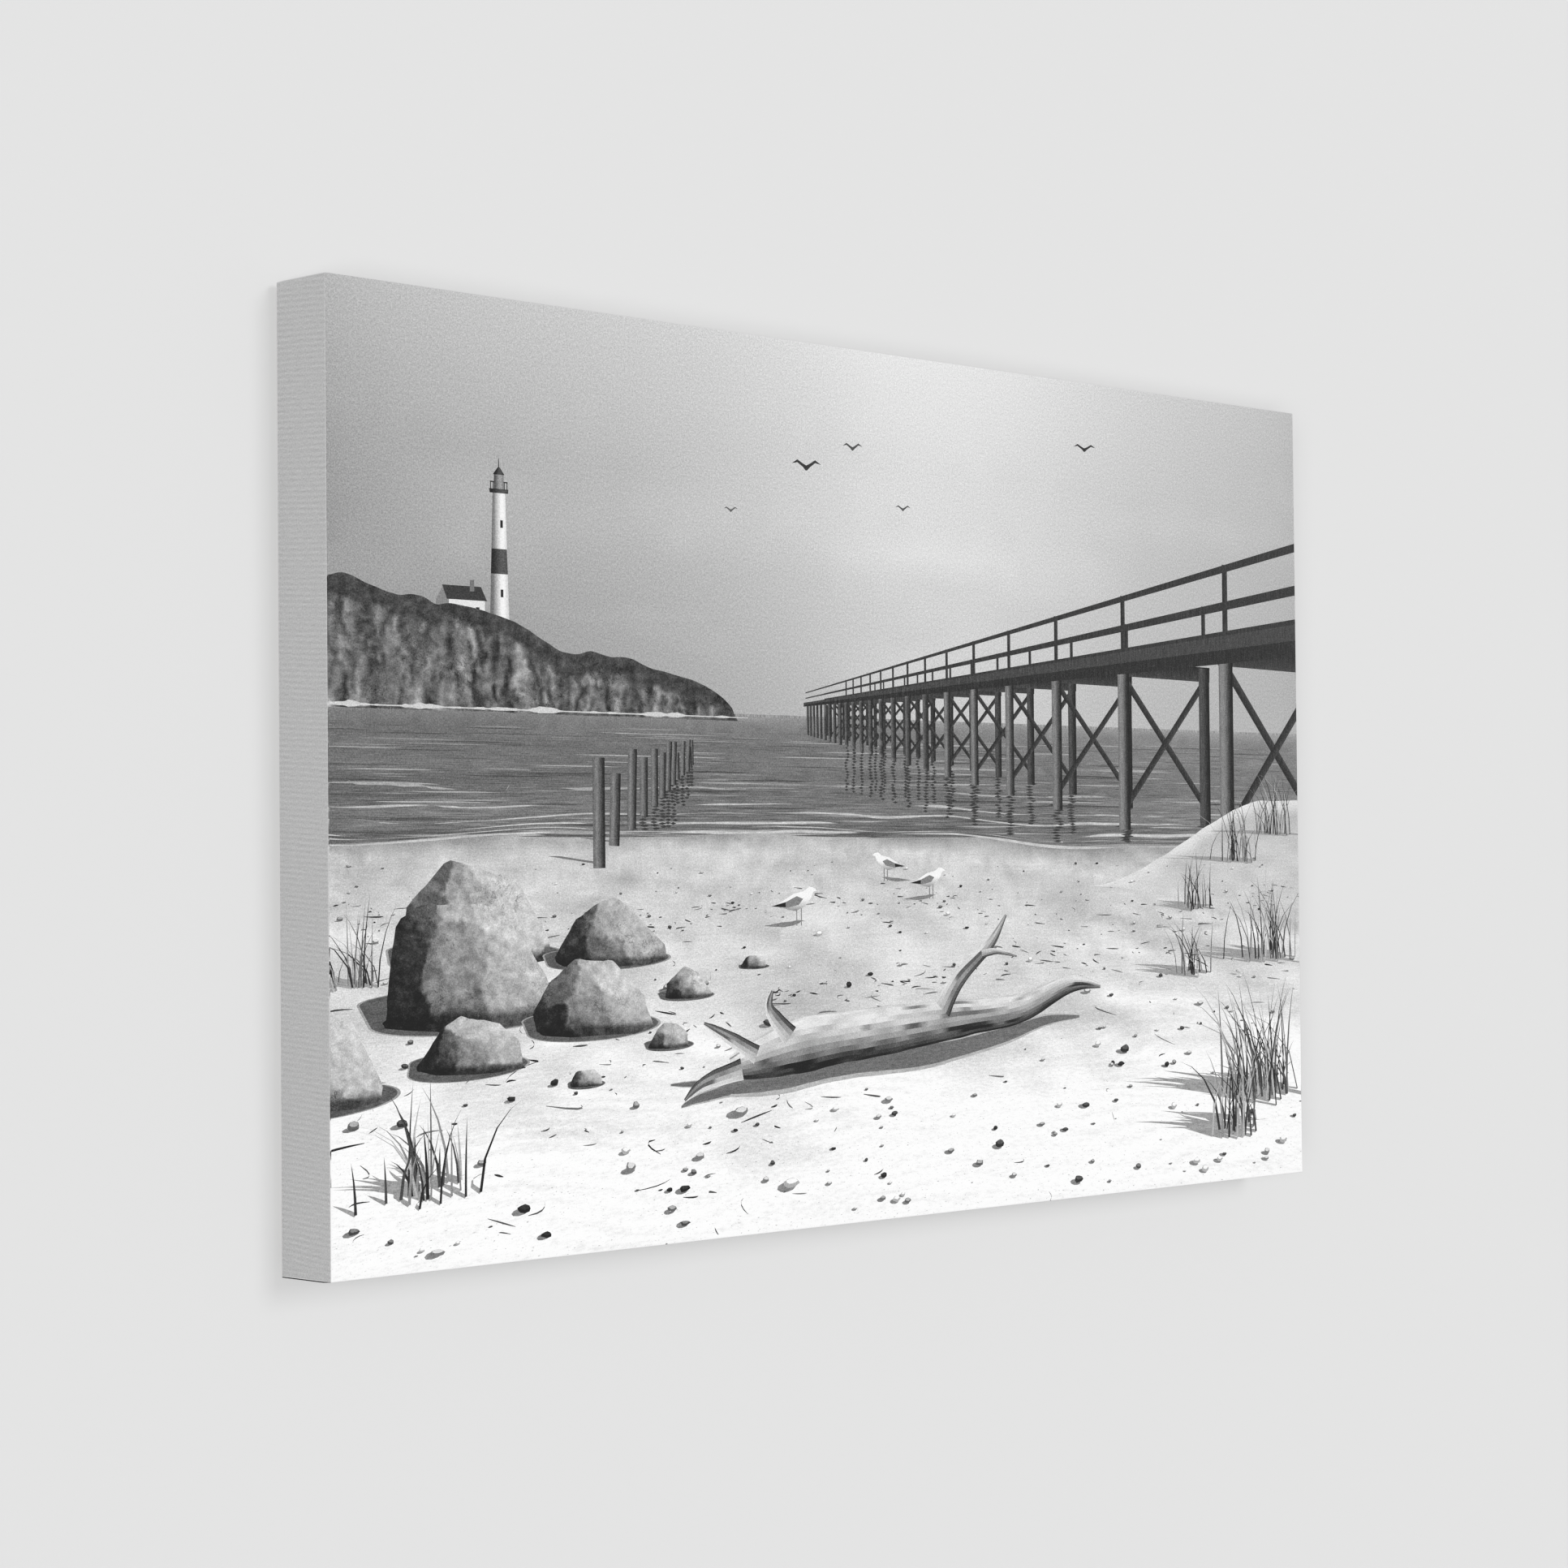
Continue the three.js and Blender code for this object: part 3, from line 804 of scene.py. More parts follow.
strand = {
    "count": 460,
    "nearest": 3.12,
    "reach": 7.8,
    "aside": 0.75,
    "tones": [0.10, 0.22, 0.34, 0.48, 0.62, 0.9],
    # metres away, spread and count of each line of weed
    "weedLines": ((8.1, 0.35, 210), (5.9, 0.30, 150), (4.4, 1.1, 150)),
    "weedTones": [0.10, 0.18, 0.28, 0.42],
}


# Pebbles of nine corners, each a shadow, a body and a paler top.
def drawStrand():
    look, count = strand, strand["count"]
    away = look["nearest"] + look["reach"] * rng.random(count)**1.5
    across = rng.uniform(-look["aside"], look["aside"], count) * away
    turn = np.linspace(0, 2 * np.pi, 9, endpoint=False)
    sizes = rng.gamma(2.2, 0.0052, count) + 0.003
    tones = rng.choice(look["tones"], count)
    for x, d, size, tone in sorted(zip(across, away, sizes, tones), key=lambda p: -p[1]):
        wobble = 1 + 0.4 * (rng.random(9) - 0.5)
        high = size * rng.uniform(0.35, 0.7)
        if (np.abs(place(x, d)) > pictureHalf - 6).any():
            continue
        shade = place(x - size * 0.7 + np.cos(turn) * size * 1.25, d + size * 0.4 + np.sin(turn) * size)
        ink(shade, 0.50, "sand")
        body = np.stack([x + np.cos(turn) * size * wobble, high * (1 + np.sin(turn) * wobble)], -1)
        ink(place(body[:, 0], d, body[:, 1]), tone * 0.75)
        cap = body * [1, 0.55] + [size * 0.12, high * 0.85]
        ink(place((cap[:, 0] - x) * 0.72 + x, d, cap[:, 1]), min(tone * 1.35 + 0.04, 0.99))
    drawWeed()


# Dark curled crumbs, thick along two tide lines and on the left, thin elsewhere.
def drawWeed():
    for line, spread, count in strand["weedLines"]:
        for _ in range(count):
            x = rng.uniform(-0.8, 0.8) * line
            if line < 5 and rng.random() < 0.6:
                x = -abs(x)
            d = max(line + rng.normal(0, spread) + 0.5 * math.sin(x * 0.9 + line), 3.05)
            heading, curl, size = rng.uniform(0, 6.28), rng.normal(0, 2.4), rng.gamma(2.0, 0.035) + 0.015
            part = np.linspace(-0.5, 0.5, 5)
            bow = size * curl * part**2 * 0.4
            right = x + size * part * math.cos(heading) + bow
            points = place(right, d + size * part * math.sin(heading) - bow * 0.5)
            half = np.array([0.08, 0.22 + 0.3 * rng.random()]) * (6.5 / d)**0.5
            taper = (1 - (2 * part)**2 * 0.7)[:, None]
            tone = rng.choice(strand["weedTones"])
            ink(between(points - half * taper, points + half * taper), tone)


# Gulls, on the sand and in the air

gulls = {
    "body": [(-11, 0.5), (-7, 2.2), (-2, 4.4), (3, 5.3), (5.6, 6.8), (7.4, 6.6), (9.8, 5.5), (7.6, 5.0),
             (6.6, 3.0), (3.5, 0.2), (-1, -1.6), (-5, -1.0)],
    "wing": [(-13, 0.2), (-6, 1.6), (-0.5, 3.6), (2.6, 2.6), (0.5, 0.6), (-5, -0.4)],
    "flight": [(-13, 2.6), (-8, 5.4), (-3, 3.2), (0, 2.2), (3, 3.4), (8, 6.0), (13.5, 3.4), (8, 4.2),
               (3.2, 1.2), (0.6, -0.9), (-0.8, -0.9), (-3, 1.0), (-8, 3.6)],
    # across, away, facing and size
    "standing": ((0.62, 8.6, 1, 1.0), (0.05, 9.6, -1, 1.0), (-0.95, 7.6, 1, 1.05)),
    # picture millimetres across and up, size and tone
    "flying": ((-60, 178, 0.9, 0.2), (-22, 192, 0.62, 0.3), (20, 160, 0.5, 0.32), (-120, 150, 0.42, 0.36),
               (185, 208, 0.8, 0.18)),
}


def drawGulls():
    body, wing, flight = (np.array(gulls[key]) for key in ("body", "wing", "flight"))
    for across, away, facing, size in gulls["standing"]:
        scale = np.array([facing, 1]) * size * 0.021 * printedView["focal"] / away
        foot = place(across, away)
        for leg in (-0.6, 1.6):
            x = foot[0] + leg * scale[0]
            ink(oblong(x - 0.25, x + 0.25, foot[1], foot[1] + 6 * scale[1]), 0.25)
        centre = foot + [0, 6.6 * scale[1]]
        shade = foot + (body - [6, 0]) * scale * [1.0, 0.28]

        # paler towards the back than the belly
        def plumage(u, v, middle=centre[1]):
            return np.clip(0.74 + 0.09 * (v - middle), 0.40, 0.97)

        ink(shade, 0.5, "sand")
        ink(centre + body * scale, plumage)
        ink(centre + wing * scale, 0.5)
        ink(centre + np.vstack([wing[:2], [(-6, -0.2)]]) * scale, 0.08)
    for u, v, size, tone in gulls["flying"]:
        ink(np.array([u, v]) + flight * [size, size * rng.uniform(0.8, 1.2)], tone)


groyne = {
    "posts": 13,
    "first": (-4.3, 10.9),      # across and away
    "step": (0.36, 1.75),       # from each to the next, leftwards and away
    "tall": 0.92,
    "width": 0.17,
}


# Old worn posts of unequal height that run from the sand into the water.
def drawGroyne():
    look, sun = groyne, printedView["sun"]
    for i in range(look["posts"] - 1, -1, -1):
        away = look["first"][1] + look["step"][1] * i
        across = look["first"][0] - look["step"][0] * i + 0.15 * (lattice(i * 3.1, 1, 7) - 0.5)
        up = look["tall"] - 0.02 * i + 0.45 * (lattice(i * 1.7, 3, 7) - 0.5)
        if away > shoreAway(across):
            drawReflection(across, away, up, look["width"])
        else:
            end = np.array([across - up * sun[0] / sun[2], away - up * sun[1] / sun[2]])
            shade = [(across - 0.09, away), (across + 0.09, away), end + [0.09, 0], end - [0.09, 0]]
            ink(place(*np.array(shade).T), 0.45, "sand")
        top = (across + 0.10 * (lattice(i * 2.3, 5, 7) - 0.5), away, up)
        beam((across, away, -0.05), top, look["width"], roundTones(0.07, 0.50, 0.3), "wood", 3)


def drawPicture():
    drawSea()
    drawHeadland()
    drawGroyne()
    drawPier()
    drawDune()
    drawStrand()
    drawGulls()
    for boulder in sorted(boulders, key=lambda b: -b[1]):
        drawBoulder(*boulder)
    drawDriftwood()
    for tuft in sorted(tufts, key=lambda t: -t[1]):
        drawTuft(*tuft)


drawPicture()
print("picture drawn:", len(inks), "shapes")


# The cloth: one closed sheet of even thickness, the printed face filled from the shapes

clothLook = {
    "thickness": 0.0005,
    "flap": 0.030,
    "arcSteps": 4,
    "sideSteps": 7,
    "flapSteps": 7,
    "wave": 0.00012,         # how far the pulled cloth strays from flat on its sides
    "ripple": 0.00025,       # and how high the flaps ripple between the staples
    "cutWaver": 0.0007,
    "foldFades": (0.001, 0.005),    # how far past the face the fold starts and has its full form
    "foldRise": {1: 0.0007, -1: 0.00045},    # how the tucked cloth lifts the top's outer layer and the foot's
    "foldBack": {1: 0.0020, -1: 0.0},        # how far the fold stops short of the corner
    "lip": 0.00016,          # how far the foot's fold stands out past the side
    "dip": 0.00040,          # how deep the groove under it is
    "ridge": -0.18,          # the ridge's painted highlight, as a crease shading value, against 1 for the painted shade in the groove
    "cornerReach": 0.075,
    "closeness": 0.05,       # picture millimetres within which outlines are joined
}
kindNames = ("sea", "sand", "rock", "wood")


# True where a spot has an odd number of the outline's edges above it.
def withinOutline(outline, spots):
    u, v = spots[:, :1], spots[:, 1:]
    a, b = outline, np.roll(outline, -1, axis=0)
    spans = (a[:, 0] > u) != (b[:, 0] > u)
    run = np.where(a[:, 0] == b[:, 0], 1, b[:, 0] - a[:, 0])
    above = a[:, 1] + (u - a[:, 0]) * (b[:, 1] - a[:, 1]) / run > v
    return (spans & above).sum(axis=1) % 2 == 1


# For each triangle the number of the last shape drawn over its middle, 0 for the sky.
def topmostShapes(points, faces):
    middles = points[faces].mean(axis=1)
    topmost = np.zeros(len(faces), int)
    order = np.argsort(middles[:, 0])
    sortedU = middles[order, 0]
    for number in range(len(inks), 0, -1):
        outline = inks[number - 1]["outline"]
        low, high = outline.min(axis=0), outline.max(axis=0)
        near = order[np.searchsorted(sortedU, low[0]):np.searchsorted(sortedU, high[0])]
        near = near[(topmost[near] == 0) & (middles[near, 1] > low[1]) & (middles[near, 1] < high[1])]
        topmost[near[withinOutline(outline, middles[near])]] = number
    return topmost


# Fills the plane with triangles that keep to the edges. A face with more corners is cut into a fan.
def triangulate(points, edges, closeness):
    found = delaunay_2d_cdt([Vector(p) for p in points.tolist()], edges.tolist(), [], 0, closeness)
    faces = [(f[0], f[i], f[i + 1]) for f in found[2] for i in range(1, len(f) - 1)]
    return np.array([tuple(p) for p in found[0]]), np.array(faces)


# One number for each different look, so that touching shapes of one plain tone count as one.
def looksOf(topmost):
    known = {}
    looks = [0]
    for number, shape in enumerate(inks, 1):
        key = number if callable(shape["tone"]) else (round(float(shape["tone"]), 2), shape["kind"])
        looks.append(known.setdefault(key, len(known) + 1))
    return np.array(looks)[topmost]


# The edges between triangles of different look, and those round the rim.
def shownEdges(faces, looks):
    edges = np.sort(faces[:, [0, 1, 1, 2, 2, 0]].reshape(-1, 2), axis=1)
    unique, inverse = np.unique(edges, axis=0, return_inverse=True)
    look = np.repeat(looks, 3)
    low, high = np.full(len(unique), 1 << 30), np.full(len(unique), -1)
    np.minimum.at(low, inverse.ravel(), look)
    np.maximum.at(high, inverse.ravel(), look)
    rim = np.bincount(inverse.ravel()) == 1
    return unique[(low != high) | rim]


# Triangles of the printed face and the shape that each shows. The first pass cuts all shapes by one
# another, the second keeps only the edges that show.
def fillFront():
    half = pictureHalf
    spots, edges, count = [], [], 0
    corners = np.array(oblong(-half[0], half[0], -half[1], half[1]))
    for outline in [corners] + [shape["outline"] for shape in inks]:
        numbers = count + np.arange(len(outline))
        spots.append(outline)
        edges.append(np.stack([numbers, np.roll(numbers, -1)], -1))
        count += len(outline)
    points, faces = triangulate(np.vstack(spots), np.vstack(edges), clothLook["closeness"])
    shown = shownEdges(faces, looksOf(topmostShapes(points, faces)))
    used, renumbered = np.unique(shown, return_inverse=True)
    rimPoints = []
    for length, fixed, axis in ((half[0], half[1], 0), (half[1], half[0], 1)):
        steps = np.linspace(-length, length, int(length / 3.2))[1:-1]
        if axis == 0:
            near = length - np.arange(0.6, clothLook["cornerReach"] * 1000, 2.0)
            steps = np.concatenate([steps[np.abs(steps) < near.min()], near, -near])
        for sign in (-1, 1):
            line = np.stack([steps, np.full(len(steps), sign * fixed)], -1)
            rimPoints.append(line if axis == 0 else line[:, ::-1])
    print("edges that show:", len(shown), "of", len(faces) * 3 // 2)
    spots = np.vstack([points[used]] + rimPoints + finePoints)
    points, faces = triangulate(spots, renumbered.reshape(-1, 2), 1e-3)
    return points, faces, topmostShapes(points, faces)


# Tone and kind at every corner of every triangle, shape by shape.
def cornerTones(points, faces, topmost):
    tone = np.zeros(faces.size)
    kind = np.zeros((faces.size, 4))
    u, v = points[faces.ravel()].T
    owner = np.repeat(topmost, 3)
    order = np.argsort(owner, kind="stable")
    for chunk in np.split(order, np.flatnonzero(np.diff(owner[order])) + 1):
        number = owner[chunk[0]]
        shade = skyTone if number == 0 else inks[number - 1]["tone"]
        tone[chunk] = shade(u[chunk], v[chunk]) if callable(shade) else shade
        name = "sky" if number == 0 else inks[number - 1]["kind"]
        if name in kindNames:
            kind[chunk, kindNames.index(name)] = 1
    return np.clip(tone, 0.01, 1.0), kind


# The wrap's profile: distance out from the face's rectangle, depth, turn of the back edge, distance
# unrolled. Front arc, side, back arc and flap, then the cut edge and the same way back half a
# millimetre in.
def wrapRows():
    look = clothLook
    r, t = edgeRound, look["thickness"]
    quarter = np.linspace(0, np.pi / 2, look["arcSteps"] + 1)
    side = np.linspace(frontY + r, backY - r, look["sideSteps"] + 1)[1:-1]
    flap = np.linspace(0, -(look["flap"] - r), look["flapSteps"] + 1)[1:]
    outer = [(r * math.sin(a), frontY + r - r * math.cos(a), 0) for a in quarter]
    outer += [(r, y, 0) for y in side]
    outer += [(r * math.cos(a), backY - r + r * math.sin(a), a) for a in quarter]
    outer += [(o, backY, np.pi / 2) for o in flap]
    inner = [(flap[-1], backY - t), (flap[-4], backY - t), (0, backY - t)]
    inner += [(r - t, backY - r), (r - t, frontY + r), (0, frontY + t)]
    rows = np.array(outer + [(o, y, 0) for o, y in inner])
    walked = np.concatenate([[0], np.cumsum(np.hypot(*np.diff(rows[:, :2], axis=0).T))])
    walked[len(outer):] = walked[len(outer) - 1] * 2 - walked[len(outer):]
    return rows, walked, len(outer)


# Which edge point each column starts from, walking round the rectangle, and its step round the
# corner. The step is 0 on the left and right sides, 7 on top and bottom, and 1 to 6 on the way
# between them.
def wrapColumns(edge):
    half = pictureHalf
    onSide = [np.abs(edge[:, 1] + half[1]) < 1e-3, np.abs(edge[:, 0] - half[0]) < 1e-3,
              np.abs(edge[:, 1] - half[1]) < 1e-3, np.abs(edge[:, 0] + half[0]) < 1e-3]
    keys = [edge[:, 0], edge[:, 1], -edge[:, 0], -edge[:, 1]]
    members, steps = [], []
    for i in range(4):
        line = np.flatnonzero(onSide[i])
        line = line[np.argsort(keys[i][line])]
        upright = i in (1, 3)
        members += [line, np.full(6, line[-1])]
        corner = np.arange(1, 7) if upright else np.arange(6, 0, -1)
        steps += [np.full(len(line), 0 if upright else 7), corner]
    return np.concatenate(members), np.concatenate(steps)


# The folded corner cut across: distances out past the side and past the top, in metres. At the top
# the fold lies back on the corner; at the foot it ends flush, under a small lip with a groove.
def foldProfile(step, out, rise, back):
    lip, dip = clothLook["lip"], clothLook["dip"]
    one = np.ones_like(out * rise)
    top = [(out, 0), (0.92 * out, 0.38 * out), (0.62 * out, 0.78 * out), (0.15 * out, 0.99 * out),
           (0.00025 - back, 0.98 * out), (0.00030 - back, out + 0.45 * rise),
           (0.00015 - back, out + 0.88 * rise), (-back, out + rise)]
    foot = [(out, 0), (out + lip, 0.30 * out), (out + 0.7 * lip, 0.72 * out), (out - dip, 0.85 * out),
            (out - 1.05 * dip, out + 0.05 * rise), (out - 0.3 * lip, out + 0.40 * rise),
            (out - 0.9 * lip, out + 0.88 * rise), (0, out + rise)]
    across = [np.choose(step, [p[i] * one for p in top]) for i in (0, 1)]
    below = [np.choose(step, [p[i] * one for p in foot]) for i in (0, 1)]
    return [np.where(back > 0, a, b) for a, b in zip(across, below)]


# Points of the wrap, row by column, and the painted shading at each: shade in the groove under the foot's
# fold, a highlight on the ridge above it.
def wrapGrid(base, step, rows, walked, outerCount):
    look = clothLook
    half = pictureHalf / 1000
    out, y, turn = (rows[:, i][:, None] for i in range(3))
    signX, signZ = np.sign(base[:, 0]), np.sign(base[:, 1])
    signs = np.where(signZ > 0, 1, -1)
    rise = np.array([look["foldRise"][s] for s in signs])
    back = np.array([look["foldBack"][s] for s in signs])
    fromCorner = np.where(step == 0, 1.0, halfWide - np.abs(base[:, 0]))
    far = walked[:, None]
    outerRow = np.arange(len(rows))[:, None] < outerCount
    lift = rise * ease(far + 0.0015 - fromCorner, 0, 0.0025) * ease(far, 0, 0.006) * outerRow

    angle = step / 7 * np.pi / 2
    plain = [out * np.cos(angle), out * np.sin(angle) + lift * np.cos(turn) * (step / 7)]
    wide = np.maximum(out, 0)
    fold = foldProfile(np.broadcast_to(step, lift.shape), wide + 0 * lift, lift, back + 0 * lift)
    blend = ease(far, *look["foldFades"]) * np.cos(turn) * outerRow * ((step > 0) & (step < 7))
    across, up = (p * (1 - blend) + f * blend for p, f in zip(plain, fold))
    shift = back * (1 - ease(fromCorner, 0, 0.012)) * ease(far, *look["foldFades"]) * np.cos(turn)
    across = across - shift * outerRow * (step == 7)

    onFlap = out < 0
    x = np.where(onFlap, np.clip(base[:, 0], -(half[0] + out), half[0] + out), base[:, 0] + across * signX)
    z = np.where(onFlap, np.clip(base[:, 1], -(half[1] + out), half[1] + out), base[:, 1] + up * signZ)
    depth = y + lift * np.sin(turn) * (step / 7)

    # the pulled cloth isn't dead flat: the sides stray a little, the flaps ripple between the staples
    along = np.cumsum(np.hypot(*np.diff(base, axis=0, prepend=base[:1]).T))
    inSide = ease(far, 0.004, 0.012) * (turn == 0) * outerRow * ((step == 0) | (step == 7))
    stray = look["wave"] * 2 * (fractal(along / 0.06, far / 0.03, 3, 3) - 0.5) * inSide
    x = x + stray * signX * (step == 0)
    z = z + stray * signZ * (step == 7)
    depth = depth + look["ripple"] * fractal(along / 0.025, far / 0.02, 3, 4) * (turn > 1.5) * outerRow
    waver = look["cutWaver"] * 2 * (fractal(along / 0.03, 0 * along, 3, 5) - 0.5)
    cut = (np.abs(np.arange(len(rows)) - (outerCount - 0.5)) < 1)[:, None]
    clearX, clearZ = ease(half - np.abs(base), 0.03, 0.035).T
    clear = np.where(step == 0, clearZ, clearX)
    x = x + np.where(cut & (step == 0), signX * waver * clear, 0)
    z = z + np.where(cut & (step == 7), signZ * waver * clear, 0)

    # painted shade, 1 in the groove under the foot's fold, and painted highlight, less than 0 on the ridge
    # above it
    paintedShadingHere = np.select([(step >= 3) & (step <= 6), (step >= 1) & (step <= 2)], [1.0, look["ridge"]], 0.0)
    paintedCreaseShading = paintedShadingHere * ease(far, 0.0008, 0.002) * (turn < 1.5) * outerRow * (signZ < 0)
    return np.stack([x, depth + 0 * x, z], -1), paintedCreaseShading


def buildCloth():
    look = clothLook
    points, faces, topmost = fillFront()
    edgeUse = np.sort(faces[:, [0, 1, 1, 2, 2, 0]].reshape(-1, 2), axis=1)
    unique, uses = np.unique(edgeUse, axis=0, return_counts=True)
    rim = np.unique(unique[uses == 1])
    members, step = wrapColumns(points[rim])
    ringIndex = rim[members]
    base = points[ringIndex] / 1000
    rows, walked, outerCount = wrapRows()
    grid, paintedCreaseShading = wrapGrid(base, step, rows, walked, outerCount)
    rowCount, ringCount = grid.shape[:2]

    flatPoints = np.stack([points[:, 0] / 1000, np.full(len(points), frontY), points[:, 1] / 1000], -1)
    wrapIndex = len(points) + np.arange(rowCount * ringCount).reshape(rowCount, ringCount)
    wrapIndex[0] = ringIndex
    a, b = wrapIndex[:-1], wrapIndex[1:]
    a2, b2 = np.roll(a, -1, axis=1), np.roll(b, -1, axis=1)
    quads = np.stack([a, b, b2, a, b2, a2], -1).reshape(-1, 3)
    quadRow = np.repeat(np.arange(rowCount - 1), ringCount * 2)
    quadColumn = np.tile(np.repeat(np.arange(ringCount), 2), rowCount - 1)
    allPoints = np.vstack([flatPoints, grid.reshape(-1, 3)])

    # the inner face of the front closes the shell
    lastRing = wrapIndex[-1]
    flat = [Vector(p) for p in allPoints[lastRing][:, [0, 2]].tolist()]
    around = np.arange(ringCount)
    found = delaunay_2d_cdt(flat, np.stack([around, np.roll(around, -1)], -1).tolist(), [], 0, 1e-7)
    owners = np.array([min(own) for own in found[3]])
    innerFaces = lastRing[owners[np.array(found[2])]][:, ::-1]

    tone, kind = cornerTones(points, faces, topmost)
    triangles = np.vstack([faces, quads, innerFaces])
    part = np.concatenate([np.zeros(len(faces), int), 1 + quadRow, np.full(len(innerFaces), rowCount)])

    # the printed face's tone at its edge follows round the front arc
    edgeTone = np.zeros(len(allPoints))
    edgeTone[faces.ravel()] = tone
    edgeTone[wrapIndex[1:].ravel()] = np.tile(edgeTone[ringIndex], rowCount - 1)
    allTone = np.concatenate([tone, edgeTone[quads.ravel()], np.zeros(innerFaces.size)])
    allKind = np.vstack([kind, np.zeros((quads.size + innerFaces.size, 4))])

    # flatMap unrolls the cloth, in metres from its middle
    flatMap = allPoints[:, [0, 2]].copy()
    angle = step / 7 * np.pi / 2
    outward = np.stack([np.cos(angle) * np.sign(base[:, 0]), np.sin(angle) * np.sign(base[:, 1])], -1)
    flatMap[wrapIndex[1:].ravel()] = (base[None] + outward[None] * walked[:, None, None])[1:].reshape(-1, 2)
    # painted shade in the groove under the foot's fold and painted highlight on the ridge, for the wrap's
    # material
    allPaintedCreaseShading = np.zeros(len(allPoints))
    allPaintedCreaseShading[wrapIndex[1:].ravel()] = paintedCreaseShading[1:].ravel()

    # weld what coincides, at the mitres and corners, and drop what has no area
    _, first, inverse = np.unique(np.round(allPoints, 7), axis=0, return_index=True, return_inverse=True)
    mapped = inverse.ravel()[triangles]
    keep = (mapped[:, 0] != mapped[:, 1]) & (mapped[:, 1] != mapped[:, 2]) & (mapped[:, 2] != mapped[:, 0])
    corner = np.repeat(keep, 3)
    piece = putMesh("canvas", allPoints[first], mapped[keep], "frame")
    mesh = piece.data
    mesh.attributes.new("tone", "FLOAT", "CORNER").data.foreach_set("value", allTone[corner])
    mesh.attributes.new("kind", "FLOAT_COLOR", "CORNER").data.foreach_set("color", allKind[corner].ravel())
    mesh.attributes.new("paintedCreaseShading", "FLOAT", "POINT").data.foreach_set("value", allPaintedCreaseShading[first])
    mesh.uv_layers.new(name="flatMap").data.foreach_set("uv", flatMap[triangles[keep].ravel()].ravel())

    # the print runs round the fold, but on the left it stops half way
    short = (step == 0) & (base[:, 0] < 0)
    printRows = np.where(short | np.roll(short, -1), 2, 3)
    ends = [np.zeros(len(own), int) for own in (faces, innerFaces)]
    printEnd = np.concatenate([ends[0], printRows[quadColumn], ends[1]])
    flapStart = outerCount - look["flapSteps"] - 2
    slots = np.select([part <= printEnd, part <= flapStart, part <= outerCount], [0, 1, 2], 3)
    mesh.polygons.foreach_set("material_index", slots[keep])
    mesh.update()
    mesh.set_sharp_from_angle(angle=math.radians(38))
    print("canvas:", len(mesh.polygons), "triangles,", ringCount, "columns,", rowCount, "rows")
    return piece


canvas = buildCloth()
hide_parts("cloth")


# Cloth materials

# Plain weave: two crossing thread waves, over and under in turn, with thick and thin threads.
def weaveGroup():
    group, vector, pitch, results = newGroup("canvasWeave", "Pitch", 0.0006, ("Height", "Thread"))
    parts = splitAxes(group, vector)
    turn = calc(group, "DIVIDE", math.pi, pitch)
    waves = [calc(group, "SINE", times(group, parts[i], turn)) for i in (0, 1)]
    crossing = times(group, times(group, *waves), 0.5)
    warp = times(group, calc(group, "ABSOLUTE", waves[0]), plus(group, 0.5, crossing))
    weft = times(group, calc(group, "ABSOLUTE", waves[1]), minus(group, 0.5, crossing))
    scales = ((2400, 60, 1), (60, 2400, 1))
    thread = plus(group, *(noise(group, stretch(group, vector, scale), 1.0, 1.0) for scale in scales))
    height = plus(group, calc(group, "MAXIMUM", warp, weft), times(group, thread, 0.35))
    group.links.new(height, results["Height"])
    group.links.new(thread, results["Thread"])
    return group


canvasWeave = weaveGroup()


def clothBase(name, roughness):
    plain = {"Specular IOR Level": 0.25, "Sheen Weight": 0.08}
    material, tree, shader = newMaterial(name, roughness, **plain)
    flatMap = addNode(tree, "ShaderNodeUVMap", uv_map="flatMap").outputs[0]
    weave = addNode(tree, "ShaderNodeGroup", {"Vector": flatMap}, node_tree=canvasWeave)
    addBump(tree, shader, weave.outputs["Height"], 0.35, 0.0001)
    return material, tree, shader, flatMap, weave.outputs["Thread"]


# Display tone to a grey albedo: tone to the power 2.2, times the white's.
def greyOf(tree, tone, white=0.86):
    return greyColour(tree, times(tree, calc(tree, "POWER", calc(tree, "MAXIMUM", tone, 0.005), 2.2), white))


